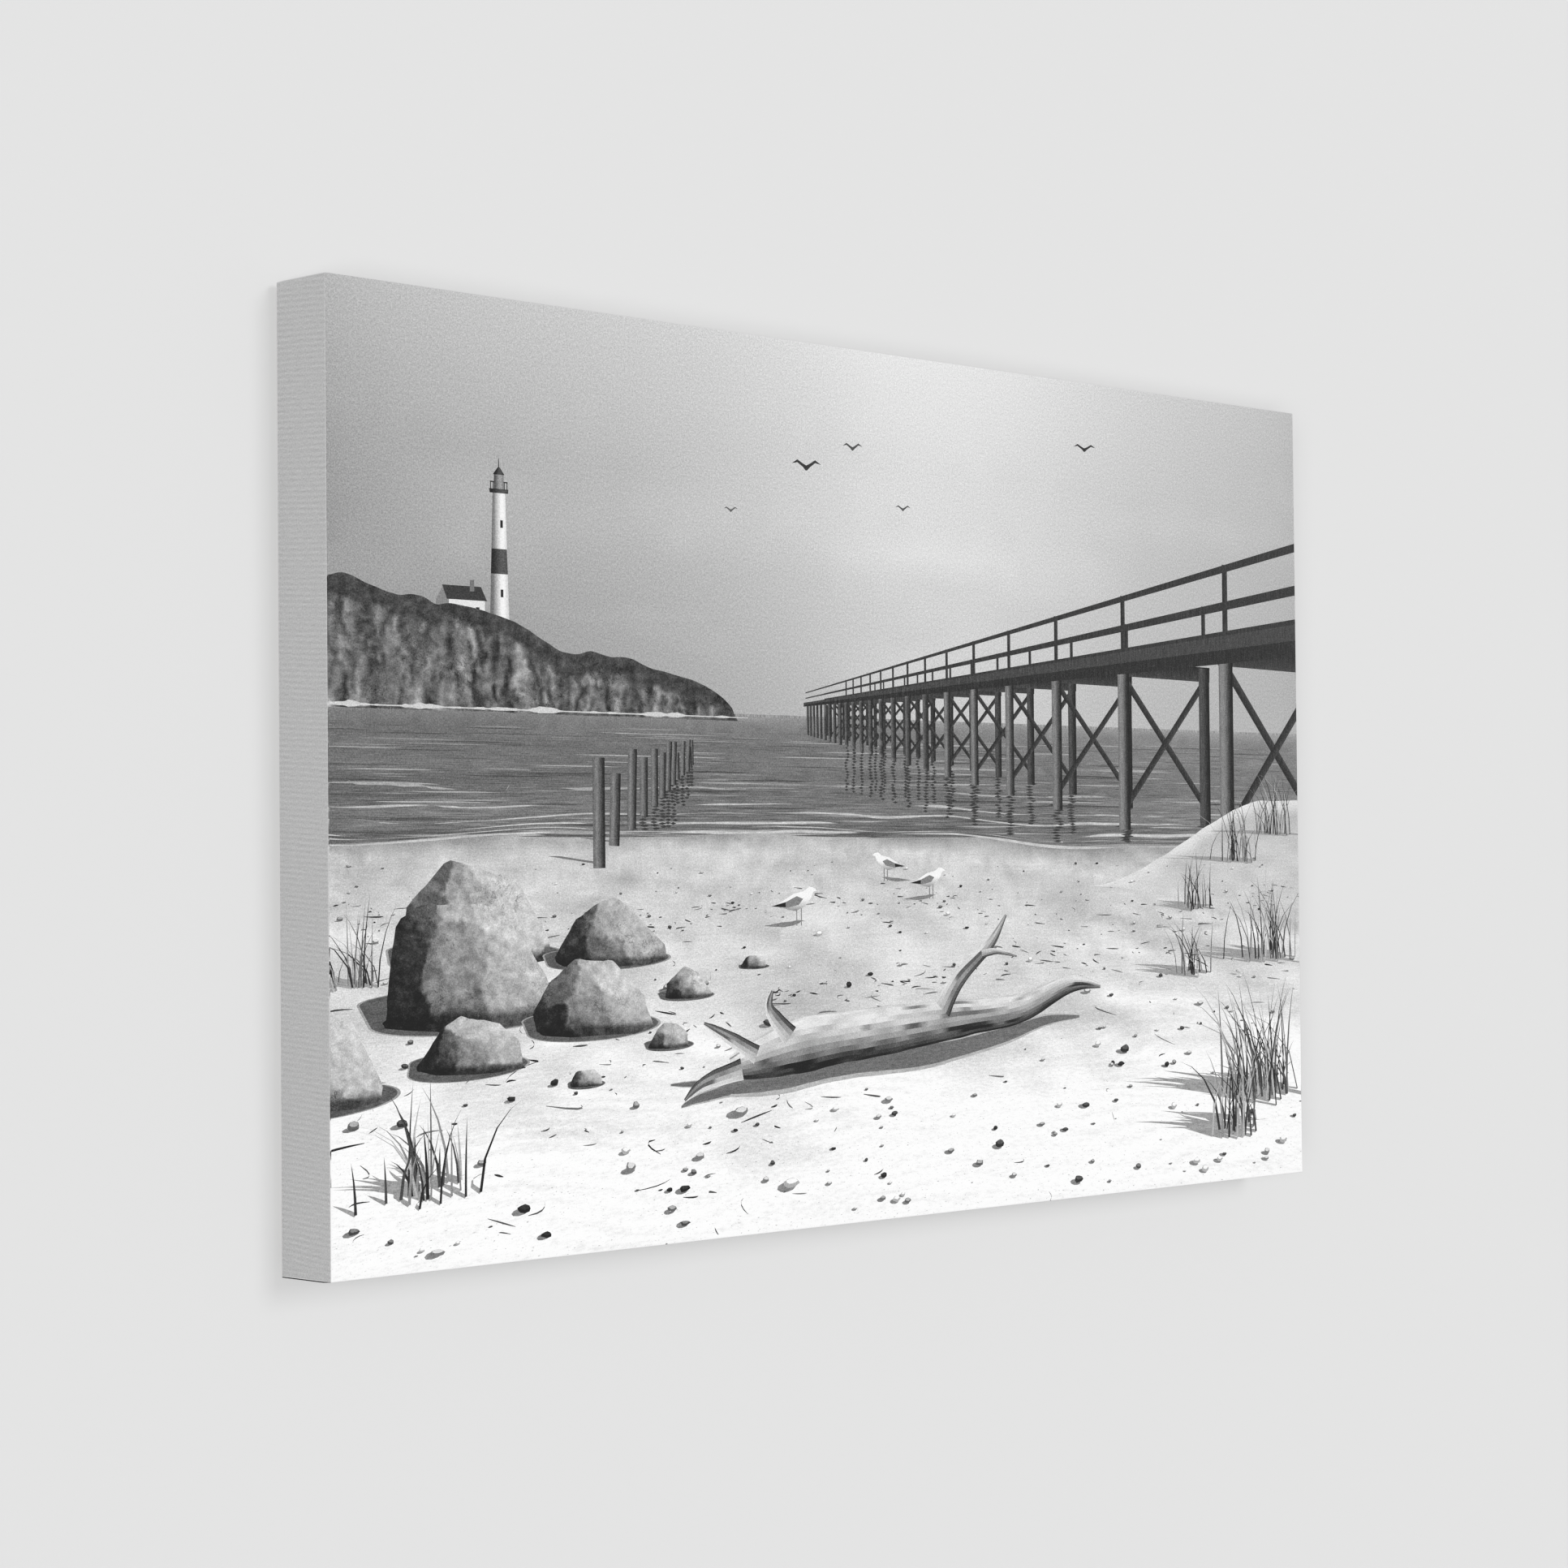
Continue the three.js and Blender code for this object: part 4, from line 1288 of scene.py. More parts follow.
# The tone drawn at each corner, with fine detail where the kind says sea, sand, rock or wood.
def printMaterial():
    material, tree, shader, flatMap = clothBase("printedCloth", 0.72)[:4]
    tone = addNode(tree, "ShaderNodeAttribute", attribute_name="tone").outputs["Fac"]
    kind = addNode(tree, "ShaderNodeAttribute", attribute_name="kind")
    sea, sand, rock = addNode(tree, "ShaderNodeSeparateColor", {0: kind.outputs["Color"]}).outputs
    wood = kind.outputs["Alpha"]
    right, up = splitAxes(tree, flatMap)[:2]

    # the printed ground's own metres, by the picture's perspective
    focal, eye = printedView["focal"] / 1000, printedView["eyeHeight"]
    below = calc(tree, "MAXIMUM", minus(tree, printedView["horizon"] / 1000, up), 0.0015)
    away = calc(tree, "DIVIDE", focal * eye, below)
    across = calc(tree, "DIVIDE", times(tree, right, away), focal)
    ground = addNode(tree, "ShaderNodeCombineXYZ", {0: across, 1: away}).outputs[0]

    # where it is measured, stretch, noise detail and roughness, strength, and the kind it falls on
    textures = (
        (ground, (2.2, 6.0, 1), 6.0, 0.65, 0.13, sand),
        (ground, (26, 40, 1), 4.0, 0.7, 0.30, sand),
        (ground, (1.1, 5.0, 1), 6.0, 0.7, 0.75, sea),
        (flatMap, (150, 190, 1), 6.0, 0.72, 0.60, rock),
        (flatMap, (900, 120, 1), 4.0, 0.6, 0.30, wood),
    )
    total = tone
    for vector, scale, fineness, roughness, strength, mask in textures:
        source = noise(tree, stretch(tree, vector, scale), 1.0, fineness, roughness)
        total = plus(tree, total, times(tree, centred(tree, source, strength), mask))

    # dark cracks in patches of the rock, along the borders of cells
    wander = addNode(tree, "ShaderNodeTexNoise", {"Vector": flatMap, "Scale": 120.0}).outputs["Color"]
    feeds = {0: flatMap, 1: wander, 2: (0.02, 0.02, 0)}
    crackAt = addNode(tree, "ShaderNodeVectorMath", feeds, operation="MULTIPLY_ADD").outputs[0]
    feeds = {"Vector": crackAt, "Scale": 55.0}
    cells = addNode(tree, "ShaderNodeTexVoronoi", feeds, feature="DISTANCE_TO_EDGE")
    nearBorder = ramp(tree, cells.outputs["Distance"], 0.0, 0.05, 1, 0)
    crack = times(tree, nearBorder, ramp(tree, noise(tree, flatMap, 40.0), 0.48, 0.60))
    total = minus(tree, total, times(tree, times(tree, crack, 0.20), rock))

    # wind ripples in patches of the sand, close by only
    drift = times(tree, noise(tree, stretch(tree, ground, (1.1, 0.7, 1)), 1.0, 2.0), 0.9)
    comb = calc(tree, "SINE", times(tree, plus(tree, away, drift), 2 * math.pi / 0.13))
    comb = times(tree, comb, ramp(tree, away, 4.0, 8.5, 0.022, 0.0))
    patch = times(tree, sand, ramp(tree, noise(tree, ground, 0.9), 0.42, 0.6))
    total = plus(tree, total, times(tree, comb, patch))

    # dark specks on the sand, fainter far away
    speck = ramp(tree, noise(tree, stretch(tree, ground, (70, 95, 1)), 1.0, 2.0, 0.5), 0.66, 0.74)
    speck = times(tree, speck, ramp(tree, away, 3.0, 14.0, 0.34, 0.12))
    total = minus(tree, total, times(tree, speck, sand))

    # film grain, weaker in the lightest tones
    fine = centred(tree, noise(tree, flatMap, 1250.0, 1.0, 0.5), 0.30)
    coarse = centred(tree, noise(tree, flatMap, 560.0, 2.0, 0.6), 0.14)
    grainy = times(tree, plus(tree, fine, coarse), ramp(tree, tone, 0.85, 1.0, 1.0, 0.4))
    total = plus(tree, total, grainy)
    tree.links.new(greyOf(tree, calc(tree, "MINIMUM", total, 1.0)), shader.inputs["Base Color"])
    return material


ribPitch = 0.0029


# Plain grey with slanting ribs, specks and threads, with painted shade where the crease shading value is high
# and a painted highlight where it is below 0.
def wrapMaterial():
    material, tree, shader, flatMap = clothBase("wrappedCloth", 0.78)[:4]
    right, up = splitAxes(tree, flatMap)[:2]
    slant = plus(tree, up, times(tree, right, 0.066))
    drift = times(tree, noise(tree, flatMap, 30.0, 1.0), 0.0008)
    rib = calc(tree, "SINE", times(tree, plus(tree, slant, drift), 2 * math.pi / ribPitch))
    rib = times(tree, rib, ramp(tree, noise(tree, flatMap, 70.0, 2.0), 0.35, 0.65, 0.5, 1.4))
    thread = noise(tree, stretch(tree, flatMap, (160, 1100, 1)), 1.0, 2.0)
    paintedCreaseShading = addNode(tree, "ShaderNodeAttribute", attribute_name="paintedCreaseShading").outputs["Fac"]
    tone = plus(tree, 0.88, times(tree, rib, 0.020))
    tone = plus(tree, tone, centred(tree, noise(tree, flatMap, 1100.0, 2.0, 0.6), 0.28))
    tone = plus(tree, tone, centred(tree, thread, 0.10))
    # painted shade in the groove, and a painted highlight where the value is below 0
    tone = minus(tree, tone, times(tree, paintedCreaseShading, 0.70))
    tree.links.new(greyOf(tree, tone), shader.inputs["Base Color"])
    return material


# A colour times faint clouds and the threads' own unevenness.
def plainCloth(name, colour, speckle):
    material, tree, shader, flatMap, thread = clothBase(name, 0.85)
    clouds = ramp(tree, noise(tree, flatMap, 9.0, 3.0), 0.3, 0.7, 0.94, 1.02)
    threads = ramp(tree, thread, 0.6, 1.4, 1 - speckle, 1 + speckle)
    factor = greyColour(tree, times(tree, clouds, threads))
    tree.links.new(mixColour(tree, 1.0, colour, factor, "MULTIPLY"), shader.inputs["Base Color"])
    return material


canvas.data.materials.append(printMaterial())
canvas.data.materials.append(wrapMaterial())
canvas.data.materials.append(plainCloth("primedCloth", (0.80, 0.79, 0.76, 1), 0.03))
canvas.data.materials.append(plainCloth("rawCloth", (0.62, 0.57, 0.47, 1), 0.12))
print("cloth materials done")


# Wood, steel and rubber

# Growth rings about a far axis, wandering along the piece, with fibres and a few knots. x runs along.
def grainGroup():
    group, vector, spacing, results = newGroup("woodGrain", "Spacing", 0.0035, ("Ring", "Fibre", "Knot"))
    feeds = {"Vector": stretch(group, vector, (5.5, 9, 9)), "Scale": 1.0}
    knots = addNode(group, "ShaderNodeTexVoronoi", feeds)
    knot = ramp(group, knots.outputs["Distance"], 0.03, 0.17, 1.0, 0.0, True)
    parts = splitAxes(group, vector)
    wander = noise(group, stretch(group, vector, (2.2, 14, 14)), 1.0, 3.0, 0.55)
    section = addNode(group, "ShaderNodeCombineXYZ", {0: parts[1], 1: parts[2]}).outputs[0]
    feeds = {0: section, 1: (0.06, 0.15, 0)}
    far = addNode(group, "ShaderNodeVectorMath", feeds, operation="DISTANCE").outputs["Value"]
    shifted = plus(group, far, times(group, wander, 0.045))
    shifted = plus(group, shifted, times(group, knot, 0.012))
    phase = calc(group, "FRACT", calc(group, "DIVIDE", shifted, spacing))
    rise, fall = ramp(group, phase, 0.25, 0.86, 0, 1, True), ramp(group, phase, 0.88, 0.99, 1, 0, True)
    fibre = noise(group, stretch(group, vector, (22, 1100, 1100)), 1.0, 3.0, 0.6)
    for name, value in (("Ring", times(group, rise, fall)), ("Fibre", fibre), ("Knot", knot)):
        group.links.new(value, results[name])
    return group


woodGrain = grainGroup()


# upright timber has its grain along z, the rest along x. shift takes each to its own part of the tree.
def timberMaterial(name, upright, early, late, knotColour, spacing, shift):
    material, tree, shader = newMaterial(name, 0.62, **{"Specular IOR Level": 0.3})
    where = objectPlace(tree)
    parts = splitAxes(tree, where)
    order = (2, 1, 0) if upright else (0, 1, 2)
    feeds = {i: plus(tree, parts[axis], shift[i]) for i, axis in enumerate(order)}
    along = addNode(tree, "ShaderNodeCombineXYZ", feeds).outputs[0]
    grain = addNode(tree, "ShaderNodeGroup", {"Vector": along, "Spacing": spacing}, node_tree=woodGrain)
    ring, fibre, knot = grain.outputs
    factor = plus(tree, times(tree, ring, 0.62), centred(tree, fibre, 0.9), clamp=True)
    colour = mixColour(tree, factor, early, late)
    colour = mixColour(tree, times(tree, knot, 0.75), colour, knotColour)
    shade = greyColour(tree, ramp(tree, noise(tree, where, 7.0, 2.0), 0.3, 0.7, 0.93, 1.05))
    tree.links.new(mixColour(tree, 1.0, colour, shade, "MULTIPLY"), shader.inputs["Base Color"])
    tree.links.new(ramp(tree, fibre, 0.3, 0.7, 0.55, 0.72), shader.inputs["Roughness"])
    addBump(tree, shader, fibre, 0.35, 0.00015)
    return material


hangerLook = {
    "layer": 0.0008,       # one of the two layers that the strap is folded of
    "pivotOut": 0.0021,    # from the strap's inner face out to the ring's pivot
    "headOut": 0.0019,     # and out to where the screws' heads start
}


# Bright zinc plate, a little clouded, with fine marks. folded adds a dark line of painted shade where the two
# layers meet.
def steelMaterial(name, folded):
    material, tree, shader = newMaterial(name, 0.3, 1.0)
    where = objectPlace(tree)
    cloud = noise(tree, where, 260.0, 3.0)
    marks = noise(tree, stretch(tree, where, (2600, 2600, 160)), 1.0, 2.0)
    colour = mixColour(tree, cloud, (0.50, 0.52, 0.54, 1), (0.74, 0.75, 0.76, 1))
    if folded:
        # painted shade: near black along the seam where the two layers meet
        middle = float(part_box("strap_left")[0][1] + hangerLook["layer"])
        off = calc(tree, "ABSOLUTE", minus(tree, splitAxes(tree, where)[1], middle))
        colour = mixColour(tree, ramp(tree, off, 0.00004, 0.00010, 1, 0), colour, (0.05, 0.05, 0.05, 1))
    tree.links.new(colour, shader.inputs["Base Color"])
    rough = plus(tree, ramp(tree, cloud, 0.3, 0.7, 0.22, 0.40), times(tree, marks, 0.08))
    tree.links.new(rough, shader.inputs["Roughness"])
    addBump(tree, shader, marks, 0.12, 0.00003)
    return material


# Matt black, a little clouded, with specks of dust.
def rubberMaterial():
    material, tree, shader = newMaterial("rubber", 0.72)
    where = objectPlace(tree)
    cloud = noise(tree, where, 500.0, 3.0)
    dust = times(tree, ramp(tree, noise(tree, where, 1900.0, 2.0), 0.60, 0.72), 0.35)
    colour = mixColour(tree, cloud, (0.012, 0.012, 0.012, 1), (0.030, 0.030, 0.029, 1))
    tree.links.new(mixColour(tree, dust, colour, (0.16, 0.15, 0.14, 1)), shader.inputs["Base Color"])
    tree.links.new(ramp(tree, cloud, 0.3, 0.7, 0.62, 0.82), shader.inputs["Roughness"])
    return material


pineTones = ((0.83, 0.66, 0.42, 1), (0.66, 0.43, 0.21, 1), (0.26, 0.13, 0.06, 1))
beechTones = ((0.70, 0.50, 0.32, 1), (0.56, 0.37, 0.22, 1), (0.40, 0.25, 0.14, 1))
timbers = {
    # start of the node's name: upright, tones, ring spacing, shift
    "rail_top": (False, pineTones, 0.0034, (0.3, 0.00, 0.0)),
    "rail_bottom": (False, pineTones, 0.0029, (1.7, 0.05, 0.45)),
    "stile_left": (True, pineTones, 0.0031, (0.9, 0.02, 0.55)),
    "stile_right": (True, pineTones, 0.0037, (2.3, 0.04, -0.21)),
    "brace": (True, pineTones, 0.0033, (3.1, -0.05, 0.16)),
    "key_rail": (True, beechTones, 0.0016, (0.2, 0.30, 0.20)),
    "key_stile": (False, beechTones, 0.0016, (0.5, 0.10, 0.40)),
}
steel = steelMaterial("zincSteel", False)
strapSteel = steelMaterial("foldedSteel", True)
rubber = rubberMaterial()
for start, (upright, tones, spacing, shift) in timbers.items():
    finish = timberMaterial(start + "Wood", upright, *tones, spacing, shift)
    for name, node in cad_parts.items():
        if name.startswith(start):
            node.data.materials.clear()
            node.data.materials.append(finish)
print("wood, steel and rubber done")


# Hangers, bumpers and staples

# Carries a section along a path. path is N frames of (place, axis, axis), section M pairs along the axes.
def sweep(path, section, closed):
    places, first, second = (path[:, None, i] for i in range(3))
    grid = places + section[None, :, :1] * first + section[None, :, 1:] * second
    n, m = grid.shape[:2]
    index = np.arange(n * m).reshape(n, m)
    after = np.roll(index, -1, axis=0) if closed else index[1:]
    before = index if closed else index[:-1]
    quads = np.stack([before, after, np.roll(after, -1, 1), np.roll(before, -1, 1)], -1)
    faces = quads.reshape(-1, 4).tolist()
    if not closed:
        faces += [index[0].tolist(), index[-1, ::-1].tolist()]
    return grid.reshape(-1, 3), faces


# Turns a profile of (radius, depth) pairs about the y axis. Its ends lie on the axis, as poles.
def revolve(profile, sides):
    turn = np.linspace(0, 2 * np.pi, sides, endpoint=False)
    radius, depth = np.array(profile[1:-1]).T
    level = np.broadcast_to(depth[:, None], (len(depth), sides))
    rings = np.stack([radius[:, None] * np.cos(turn), level, radius[:, None] * np.sin(turn)], -1)
    points = np.vstack([rings.reshape(-1, 3), [[0, profile[0][1], 0], [0, profile[-1][1], 0]]])
    index = np.arange(len(radius) * sides).reshape(len(radius), sides)
    a, b = index[:-1], index[1:]
    faces = np.stack([a, np.roll(a, -1, 1), np.roll(b, -1, 1), b], -1).reshape(-1, 4).tolist()
    start, end = len(points) - 2, len(points) - 1
    faces += [[start, index[0, (i + 1) % sides], index[0, i]] for i in range(sides)]
    faces += [[end, index[-1, i], index[-1, (i + 1) % sides]] for i in range(sides)]
    return points, faces


def finishEdges(piece, degrees):
    piece.data.set_sharp_from_angle(angle=math.radians(degrees))


ringLook = {
    "wire": 0.0011,       # half the wire's thickness
    "half": 0.008,        # half the width and the whole height, to the wire's middle
    "height": 0.0146,
    "bend": 0.0065,
    "heel": 0.0016,
    "lean": 3.5,          # degrees towards the cloth
    "sides": 14,
}


# A D of round wire about the pivot: two straight legs, quadratic curves above, tight bends below.
def buildRing(side, pivot):
    look = ringLook
    half, tall, bend, heel = look["half"], look["height"], look["bend"], look["heel"]
    t = np.linspace(0, 1, 13)[:, None]
    crown = [(-half, tall - bend), (-half, tall), (-half + bend, tall)]
    over = (1 - t)**2 * crown[0] + 2 * t * (1 - t) * np.array(crown[1]) + t**2 * np.array(crown[2])
    quarter = np.linspace(0, np.pi / 2, 5)
    low = np.stack([-half + heel - heel * np.sin(quarter), heel - heel * np.cos(quarter)], -1)
    leg = np.stack([np.full(4, -half), np.linspace(heel, tall - bend, 6)[1:-1]], -1)
    leftHalf = np.vstack([low, leg, over])
    line = np.vstack([leftHalf, (leftHalf * [-1, 1])[::-1]])
    tangent = np.roll(line, -1, 0) - np.roll(line, 1, 0)
    tangent /= np.linalg.norm(tangent, axis=1, keepdims=True)
    lean = math.radians(look["lean"])
    up = np.array([0, -math.sin(lean), math.cos(lean)])
    out = np.array([0, math.cos(lean), math.sin(lean)])
    places = np.array(pivot) + line[:, :1] * [1, 0, 0] + line[:, 1:] * up
    across = -tangent[:, 1:] * [1, 0, 0] + tangent[:, :1] * up
    turn = np.linspace(0, 2 * np.pi, look["sides"], endpoint=False)
    section = look["wire"] * np.stack([np.cos(turn), np.sin(turn)], -1)
    path = np.stack([places, across, np.broadcast_to(out, across.shape)], 1)
    points, faces = sweep(path, section, True)
    piece = putMesh("dRing_" + side, points, faces, "ring_" + side)
    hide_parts("ring_" + side)
    piece.data.materials.append(steel)


screwLook = {
    "head": 0.0035,         # radii of head, shank and tip
    "shank": 0.0017,
    "tip": 0.0009,
    "rise": 0.0019,
    "arm": 0.0017,          # the cross: length of an arm, half its width, and its depth
    "slotHalf": 0.00038,
    "deep": 0.0011,
}


# A pan head, y = rise * (1 - (r / head)^4)^0.5, with a cross sunk in it, on a plain shank.
def buildScrew(name, centre, turned, tipY):
    look = screwLook
    shoulder = look["head"] * np.sin(np.linspace(0.78, 1, 8) * np.pi / 2)
    radii = np.concatenate([np.linspace(0.0001, 0.0024, 18), shoulder])
    rise = look["rise"] * np.sqrt(np.clip(1 - (radii / look["head"])**4, 0, 1))
    profile = [(0, look["rise"])] + list(zip(radii, rise)) + [(look["head"] * 0.97, 0), (look["shank"], 0)]
    base = centre[1]
    profile += [(look["shank"], -0.004), (look["tip"], tipY - base + 0.001), (0, tipY - base)]
    points, faces = revolve(profile, 72)
    across = points[:, 0] * math.cos(turned) + points[:, 2] * math.sin(turned)
    over = -points[:, 0] * math.sin(turned) + points[:, 2] * math.cos(turned)
    inHead = points[:, 1] > 0.0001
    arms = np.zeros(len(points))
    for a, b in ((across, over), (over, across)):
        reach = 1 - ease(np.abs(a), look["arm"] * 0.55, look["arm"])
        within = 1 - ease(np.abs(b), look["slotHalf"] * 0.75, look["slotHalf"] * 1.35)
        arms = np.maximum(arms, reach * within)
    points[:, 1] -= look["deep"] * arms * inHead
    piece = putMesh(name + "_fine", points + centre, faces, "frame")
    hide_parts(name)
    piece.data.materials.append(steel)
    finishEdges(piece, 45)


# The strap's own form with its edges eased. A thin dark line of painted shade round its edge, from its
# material, shows that it is folded double.
def buildStrap(side):
    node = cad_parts["strap_" + side]
    points = np.empty(len(node.data.vertices) * 3)
    node.data.vertices.foreach_get("co", points)
    matrix = np.array(node.matrix_world)
    points = points.reshape(-1, 3) @ matrix[:3, :3].T + matrix[:3, 3]
    _, first, inverse = np.unique(np.round(points, 6), axis=0, return_index=True, return_inverse=True)
    corners = inverse.ravel()[[v for p in node.data.polygons for v in p.vertices]].reshape(-1, 3)
    corners = [c for c in corners.tolist() if len(set(c)) == 3]
    piece = putMesh("strapPlate_" + side, points[first], corners, "frame")
    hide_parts("strap_" + side)
    piece.data.materials.append(strapSteel)
    eased = piece.modifiers.new("easedEdges", "BEVEL")
    eased.width, eased.segments = 0.00018, 2
    eased.limit_method, eased.angle_limit = "ANGLE", math.radians(40)
    finishEdges(piece, 35)


bumperLook = {"foot": 0.006, "top": 0.0048, "height": 0.005, "round": 0.0007}


# A rubber dome: a flared foot, a tapering wall, a rounded rim and a shallow dish in the pad.
def buildBumper(side, centre):
    look = bumperLook
    foot, top, height, soft = (look[key] for key in ("foot", "top", "height", "round"))
    turn = np.linspace(0, np.pi / 2, 6)
    rim = [(top - soft * (1 - math.cos(a)), -soft * (1 - math.sin(a))) for a in turn]
    profile = [(0, -height), (foot * 0.97, -height), (foot, -height + 0.0002),
               (foot - 0.0001, -height + 0.0006), (0.00525, -0.0026)] + rim
    profile += [(0.0030, 0), (0.0026, -0.0003), (0.0010, -0.0003), (0, -0.0003)]
    points, faces = revolve([(r, y) for r, y in profile[::-1]], 48)
    piece = putMesh("bumperDome_" + side, points + centre, faces, "frame")
    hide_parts("bumper_" + side)
    piece.data.materials.append(rubber)
    finishEdges(piece, 50)


stapleLook = {
    "crown": 0.010,
    "leg": 0.003,
    "bend": 0.0007,
    "wide": 0.00115,
    "thick": 0.0005,
    "out": 0.00028,       # from the cloth to the crown's middle
    "inset": 0.017,       # from the canvas's edge
    "pitch": 0.050,
    "strapSpan": (0.100, 0.172),    # heights between which the straps leave no room
    "topSpan": 0.325,     # how far from the middle the rows run
    "sideSpan": 0.19,
    # over each fold, in from the side and in from the top or the foot
    "corners": ((0.034, 0.013), (0.050, 0.021)),
    "scatter": (0.0012, 0.0010, 0.09),    # across, up and turned
}


# Place across, place up, turn and lift of every staple, with a little scatter.
def stapleSpots():
    look = stapleLook
    spots = []
    for sign in (-1, 1):
        for x in np.arange(-look["topSpan"], look["topSpan"] + 0.001, look["pitch"]):
            spots.append((x, sign * (halfTall - look["inset"]), 0.0, 0.0))
        for z in np.arange(-look["sideSpan"], look["sideSpan"] + 0.001, look["pitch"] * 0.95):
            if not look["strapSpan"][0] < z < look["strapSpan"][1]:
                spots.append((sign * (halfWide - look["inset"]), z, np.pi / 2, 0.0))
        lift = clothLook["foldRise"][sign]
        for side in (-1, 1):
            spots += [(side * (halfWide - x), sign * (halfTall - z), 0.0, lift) for x, z in look["corners"]]
    spots = np.array(spots)
    spots[:, :3] += rng.normal(0, 1, (len(spots), 3)) * look["scatter"]
    return spots


# Flat wire bent square, its crown pressed into the cloth and its legs in the bar, all in one mesh.
def buildStaples():
    look = stapleLook
    half, bend = look["crown"] / 2, look["bend"]
    quarter = np.linspace(0, np.pi / 2, 4)
    arc = [(half - bend + bend * math.cos(a), -bend + bend * math.sin(a)) for a in quarter]
    right = [(half, -look["leg"])] + arc
    line = np.array(right + [(-x, y) for x, y in right[::-1]])
    tangent = np.gradient(line, axis=0)
    tangent /= np.linalg.norm(tangent, axis=1, keepdims=True)
    turn = np.linspace(0, 2 * np.pi, 8, endpoint=False) + np.pi / 8
    section = np.stack([np.cos(turn), np.sin(turn)], -1)
    section = np.sign(section) * np.abs(section)**0.6 * [look["wide"] / 2, look["thick"] / 2]
    out = np.array([0, 1, 0])
    allPoints, allFaces, count = [], [], 0
    for x, z, turned, lift in stapleSpots():
        along = np.array([math.cos(turned), 0, math.sin(turned)])
        aside = np.array([-math.sin(turned), 0, math.cos(turned)])
        centre = np.array([x, backY + lift + look["out"], z])
        places = centre + line[:, :1] * along + line[:, 1:] * out
        normal = -tangent[:, 1:] * along + tangent[:, :1] * out
        path = np.stack([places, np.broadcast_to(aside, places.shape), normal], 1)
        points, faces = sweep(path, section, False)
        allPoints.append(points)
        allFaces += [[v + count for v in face] for face in faces]
        count += len(points)
    piece = putMesh("staples", np.vstack(allPoints), allFaces, "frame")
    piece.data.materials.append(steel)
    finishEdges(piece, 50)
    print("staples:", len(allPoints))


for side in ("left", "right"):
    low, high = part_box("ring_" + side)
    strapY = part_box("strap_" + side)[0][1]
    pivotZ = low[2] + ringLook["wire"]
    buildRing(side, ((low[0] + high[0]) / 2, strapY + hangerLook["pivotOut"], pivotZ))
    buildStrap(side)
    low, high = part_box("bumper_" + side)
    buildBumper(side, ((low[0] + high[0]) / 2, 0, (low[2] + high[2]) / 2))
    for number, turned in ((1, 0.35), (2, 1.15)):
        name = f"screw_{side}_{number}"
        low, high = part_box(name)
        head = ((low[0] + high[0]) / 2, strapY + hangerLook["headOut"], (low[2] + high[2]) / 2)
        buildScrew(name, head, turned + (side == "left") * 0.6, low[1])
buildStaples()


# Wall, floor and light

stage = {
    "wall": (0.22, 0.2175),     # grey of the paint, and its own even glow, which keeps the shadows faint
    "floor": (0.55, 0.10),
    "halfWide": 4.0,
    "floorZ": -1.15,
    "wallTop": 2.6,
    "floorEnds": (-5.0, 4.0),
    "wallGap": 0.0006,
    "nearShade": (0.012, 0.235),    # reach and strength of the shade close round the canvas
    "world": 0.62,
    # the way towards it, strength and width in degrees
    "suns": {
        "key": ((0.11, -1.0, 0.27), 1.79, 20),
        "rear": ((0.3, 1.0, 0.5), 0.72, 40),
        "side": ((-1.126, -1.0, -0.097), 6.55, 28),
    },
}


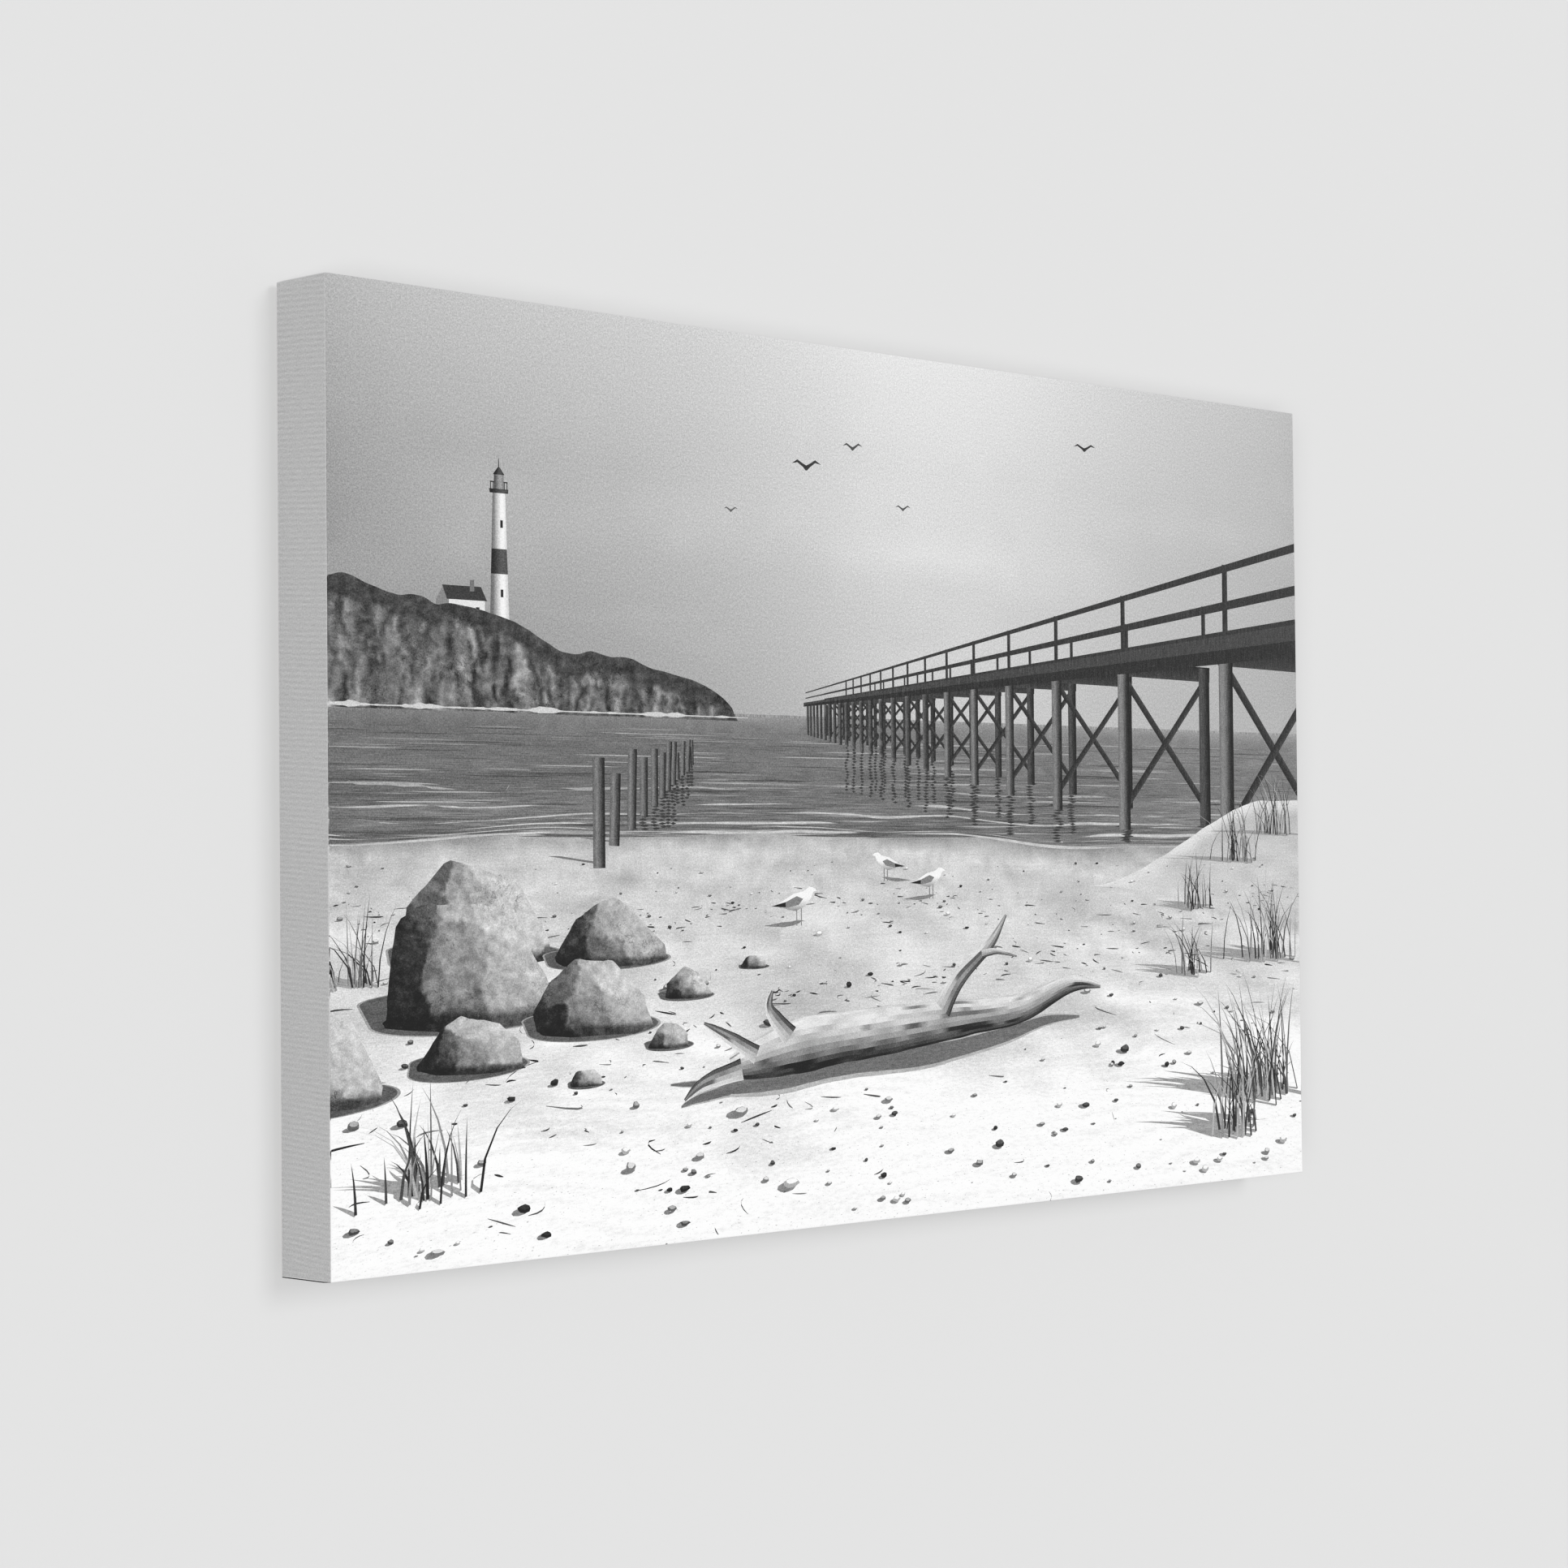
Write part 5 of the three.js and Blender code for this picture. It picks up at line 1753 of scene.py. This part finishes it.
# A matt grey that is clear from behind and to shadow rays, so that the back can be seen and lit.
def stageMaterial(name, grey, glow):
    material, tree, shader = newMaterial(name, 0.9, **{"Specular IOR Level": 0.0, "Emission Strength": glow})
    shader.inputs["Base Color"].default_value = (grey, grey, grey, 1)
    behind = addNode(tree, "ShaderNodeNewGeometry").outputs["Backfacing"]
    shadow = addNode(tree, "ShaderNodeLightPath").outputs["Is Shadow Ray"]
    clear = addNode(tree, "ShaderNodeBsdfTransparent").outputs[0]
    # painted shade: the glow is dimmed close round the canvas where ambient occlusion finds it
    reach, strength = stage["nearShade"]
    near = addNode(tree, "ShaderNodeAmbientOcclusion", {"Distance": reach}).outputs["AO"]
    shade = ramp(tree, near, 0.0, 1.0, 1 - strength, 1.0)
    tree.links.new(greyColour(tree, shade), shader.inputs["Emission Color"])
    feeds = {0: calc(tree, "MAXIMUM", behind, shadow), 1: shader.outputs[0], 2: clear}
    mix = addNode(tree, "ShaderNodeMixShader", feeds)
    tree.links.new(mix.outputs[0], tree.nodes["Material Output"].inputs["Surface"])
    return material


def buildStage():
    half, floorZ = stage["halfWide"], stage["floorZ"]
    upright = [(x, stage["wallGap"], z) for x, z in oblong(-half, half, floorZ, stage["wallTop"])]
    level = [(x, y, floorZ) for x, y in oblong(-half, half, *stage["floorEnds"])]
    wall = putMesh("wall", upright, [(0, 1, 2, 3)], None, False)
    floor = putMesh("floor", level, [(0, 1, 2, 3)], None, False)
    wall.data.materials.append(stageMaterial("wallPaint", *stage["wall"]))
    floor.data.materials.append(stageMaterial("floorPaint", *stage["floor"]))
    return wall


def addSun(name, towards, strength, angle, only=None):
    lamp = bpy.data.objects.new(name, bpy.data.lights.new(name, "SUN"))
    scene.collection.objects.link(lamp)
    lamp.rotation_mode = "QUATERNION"
    lamp.rotation_quaternion = Vector(towards).to_track_quat("Z", "Y")
    lamp.data.energy = strength
    lamp.data.angle = math.radians(angle)
    if only:
        lamp.light_linking.receiver_collection = bpy.data.collections.new(name + "Only")
        lamp.light_linking.receiver_collection.objects.link(only)


# The key and the rear sun light everything. The side sun lights only the wall, from the camera's side,
# and gives it the soft shade that shows past the canvas's top and right.
def setLights(wall):
    world = bpy.data.worlds.new("studio")
    scene.world = world
    world.use_nodes = True
    background = world.node_tree.nodes["Background"]
    background.inputs["Color"].default_value = (1, 1, 1, 1)
    background.inputs["Strength"].default_value = stage["world"]
    for name, (towards, strength, angle) in stage["suns"].items():
        addSun(name, towards, strength, angle, wall if name == "side" else None)
    scene.view_settings.view_transform = "Standard"


setLights(buildStage())
print("stage and lights done")
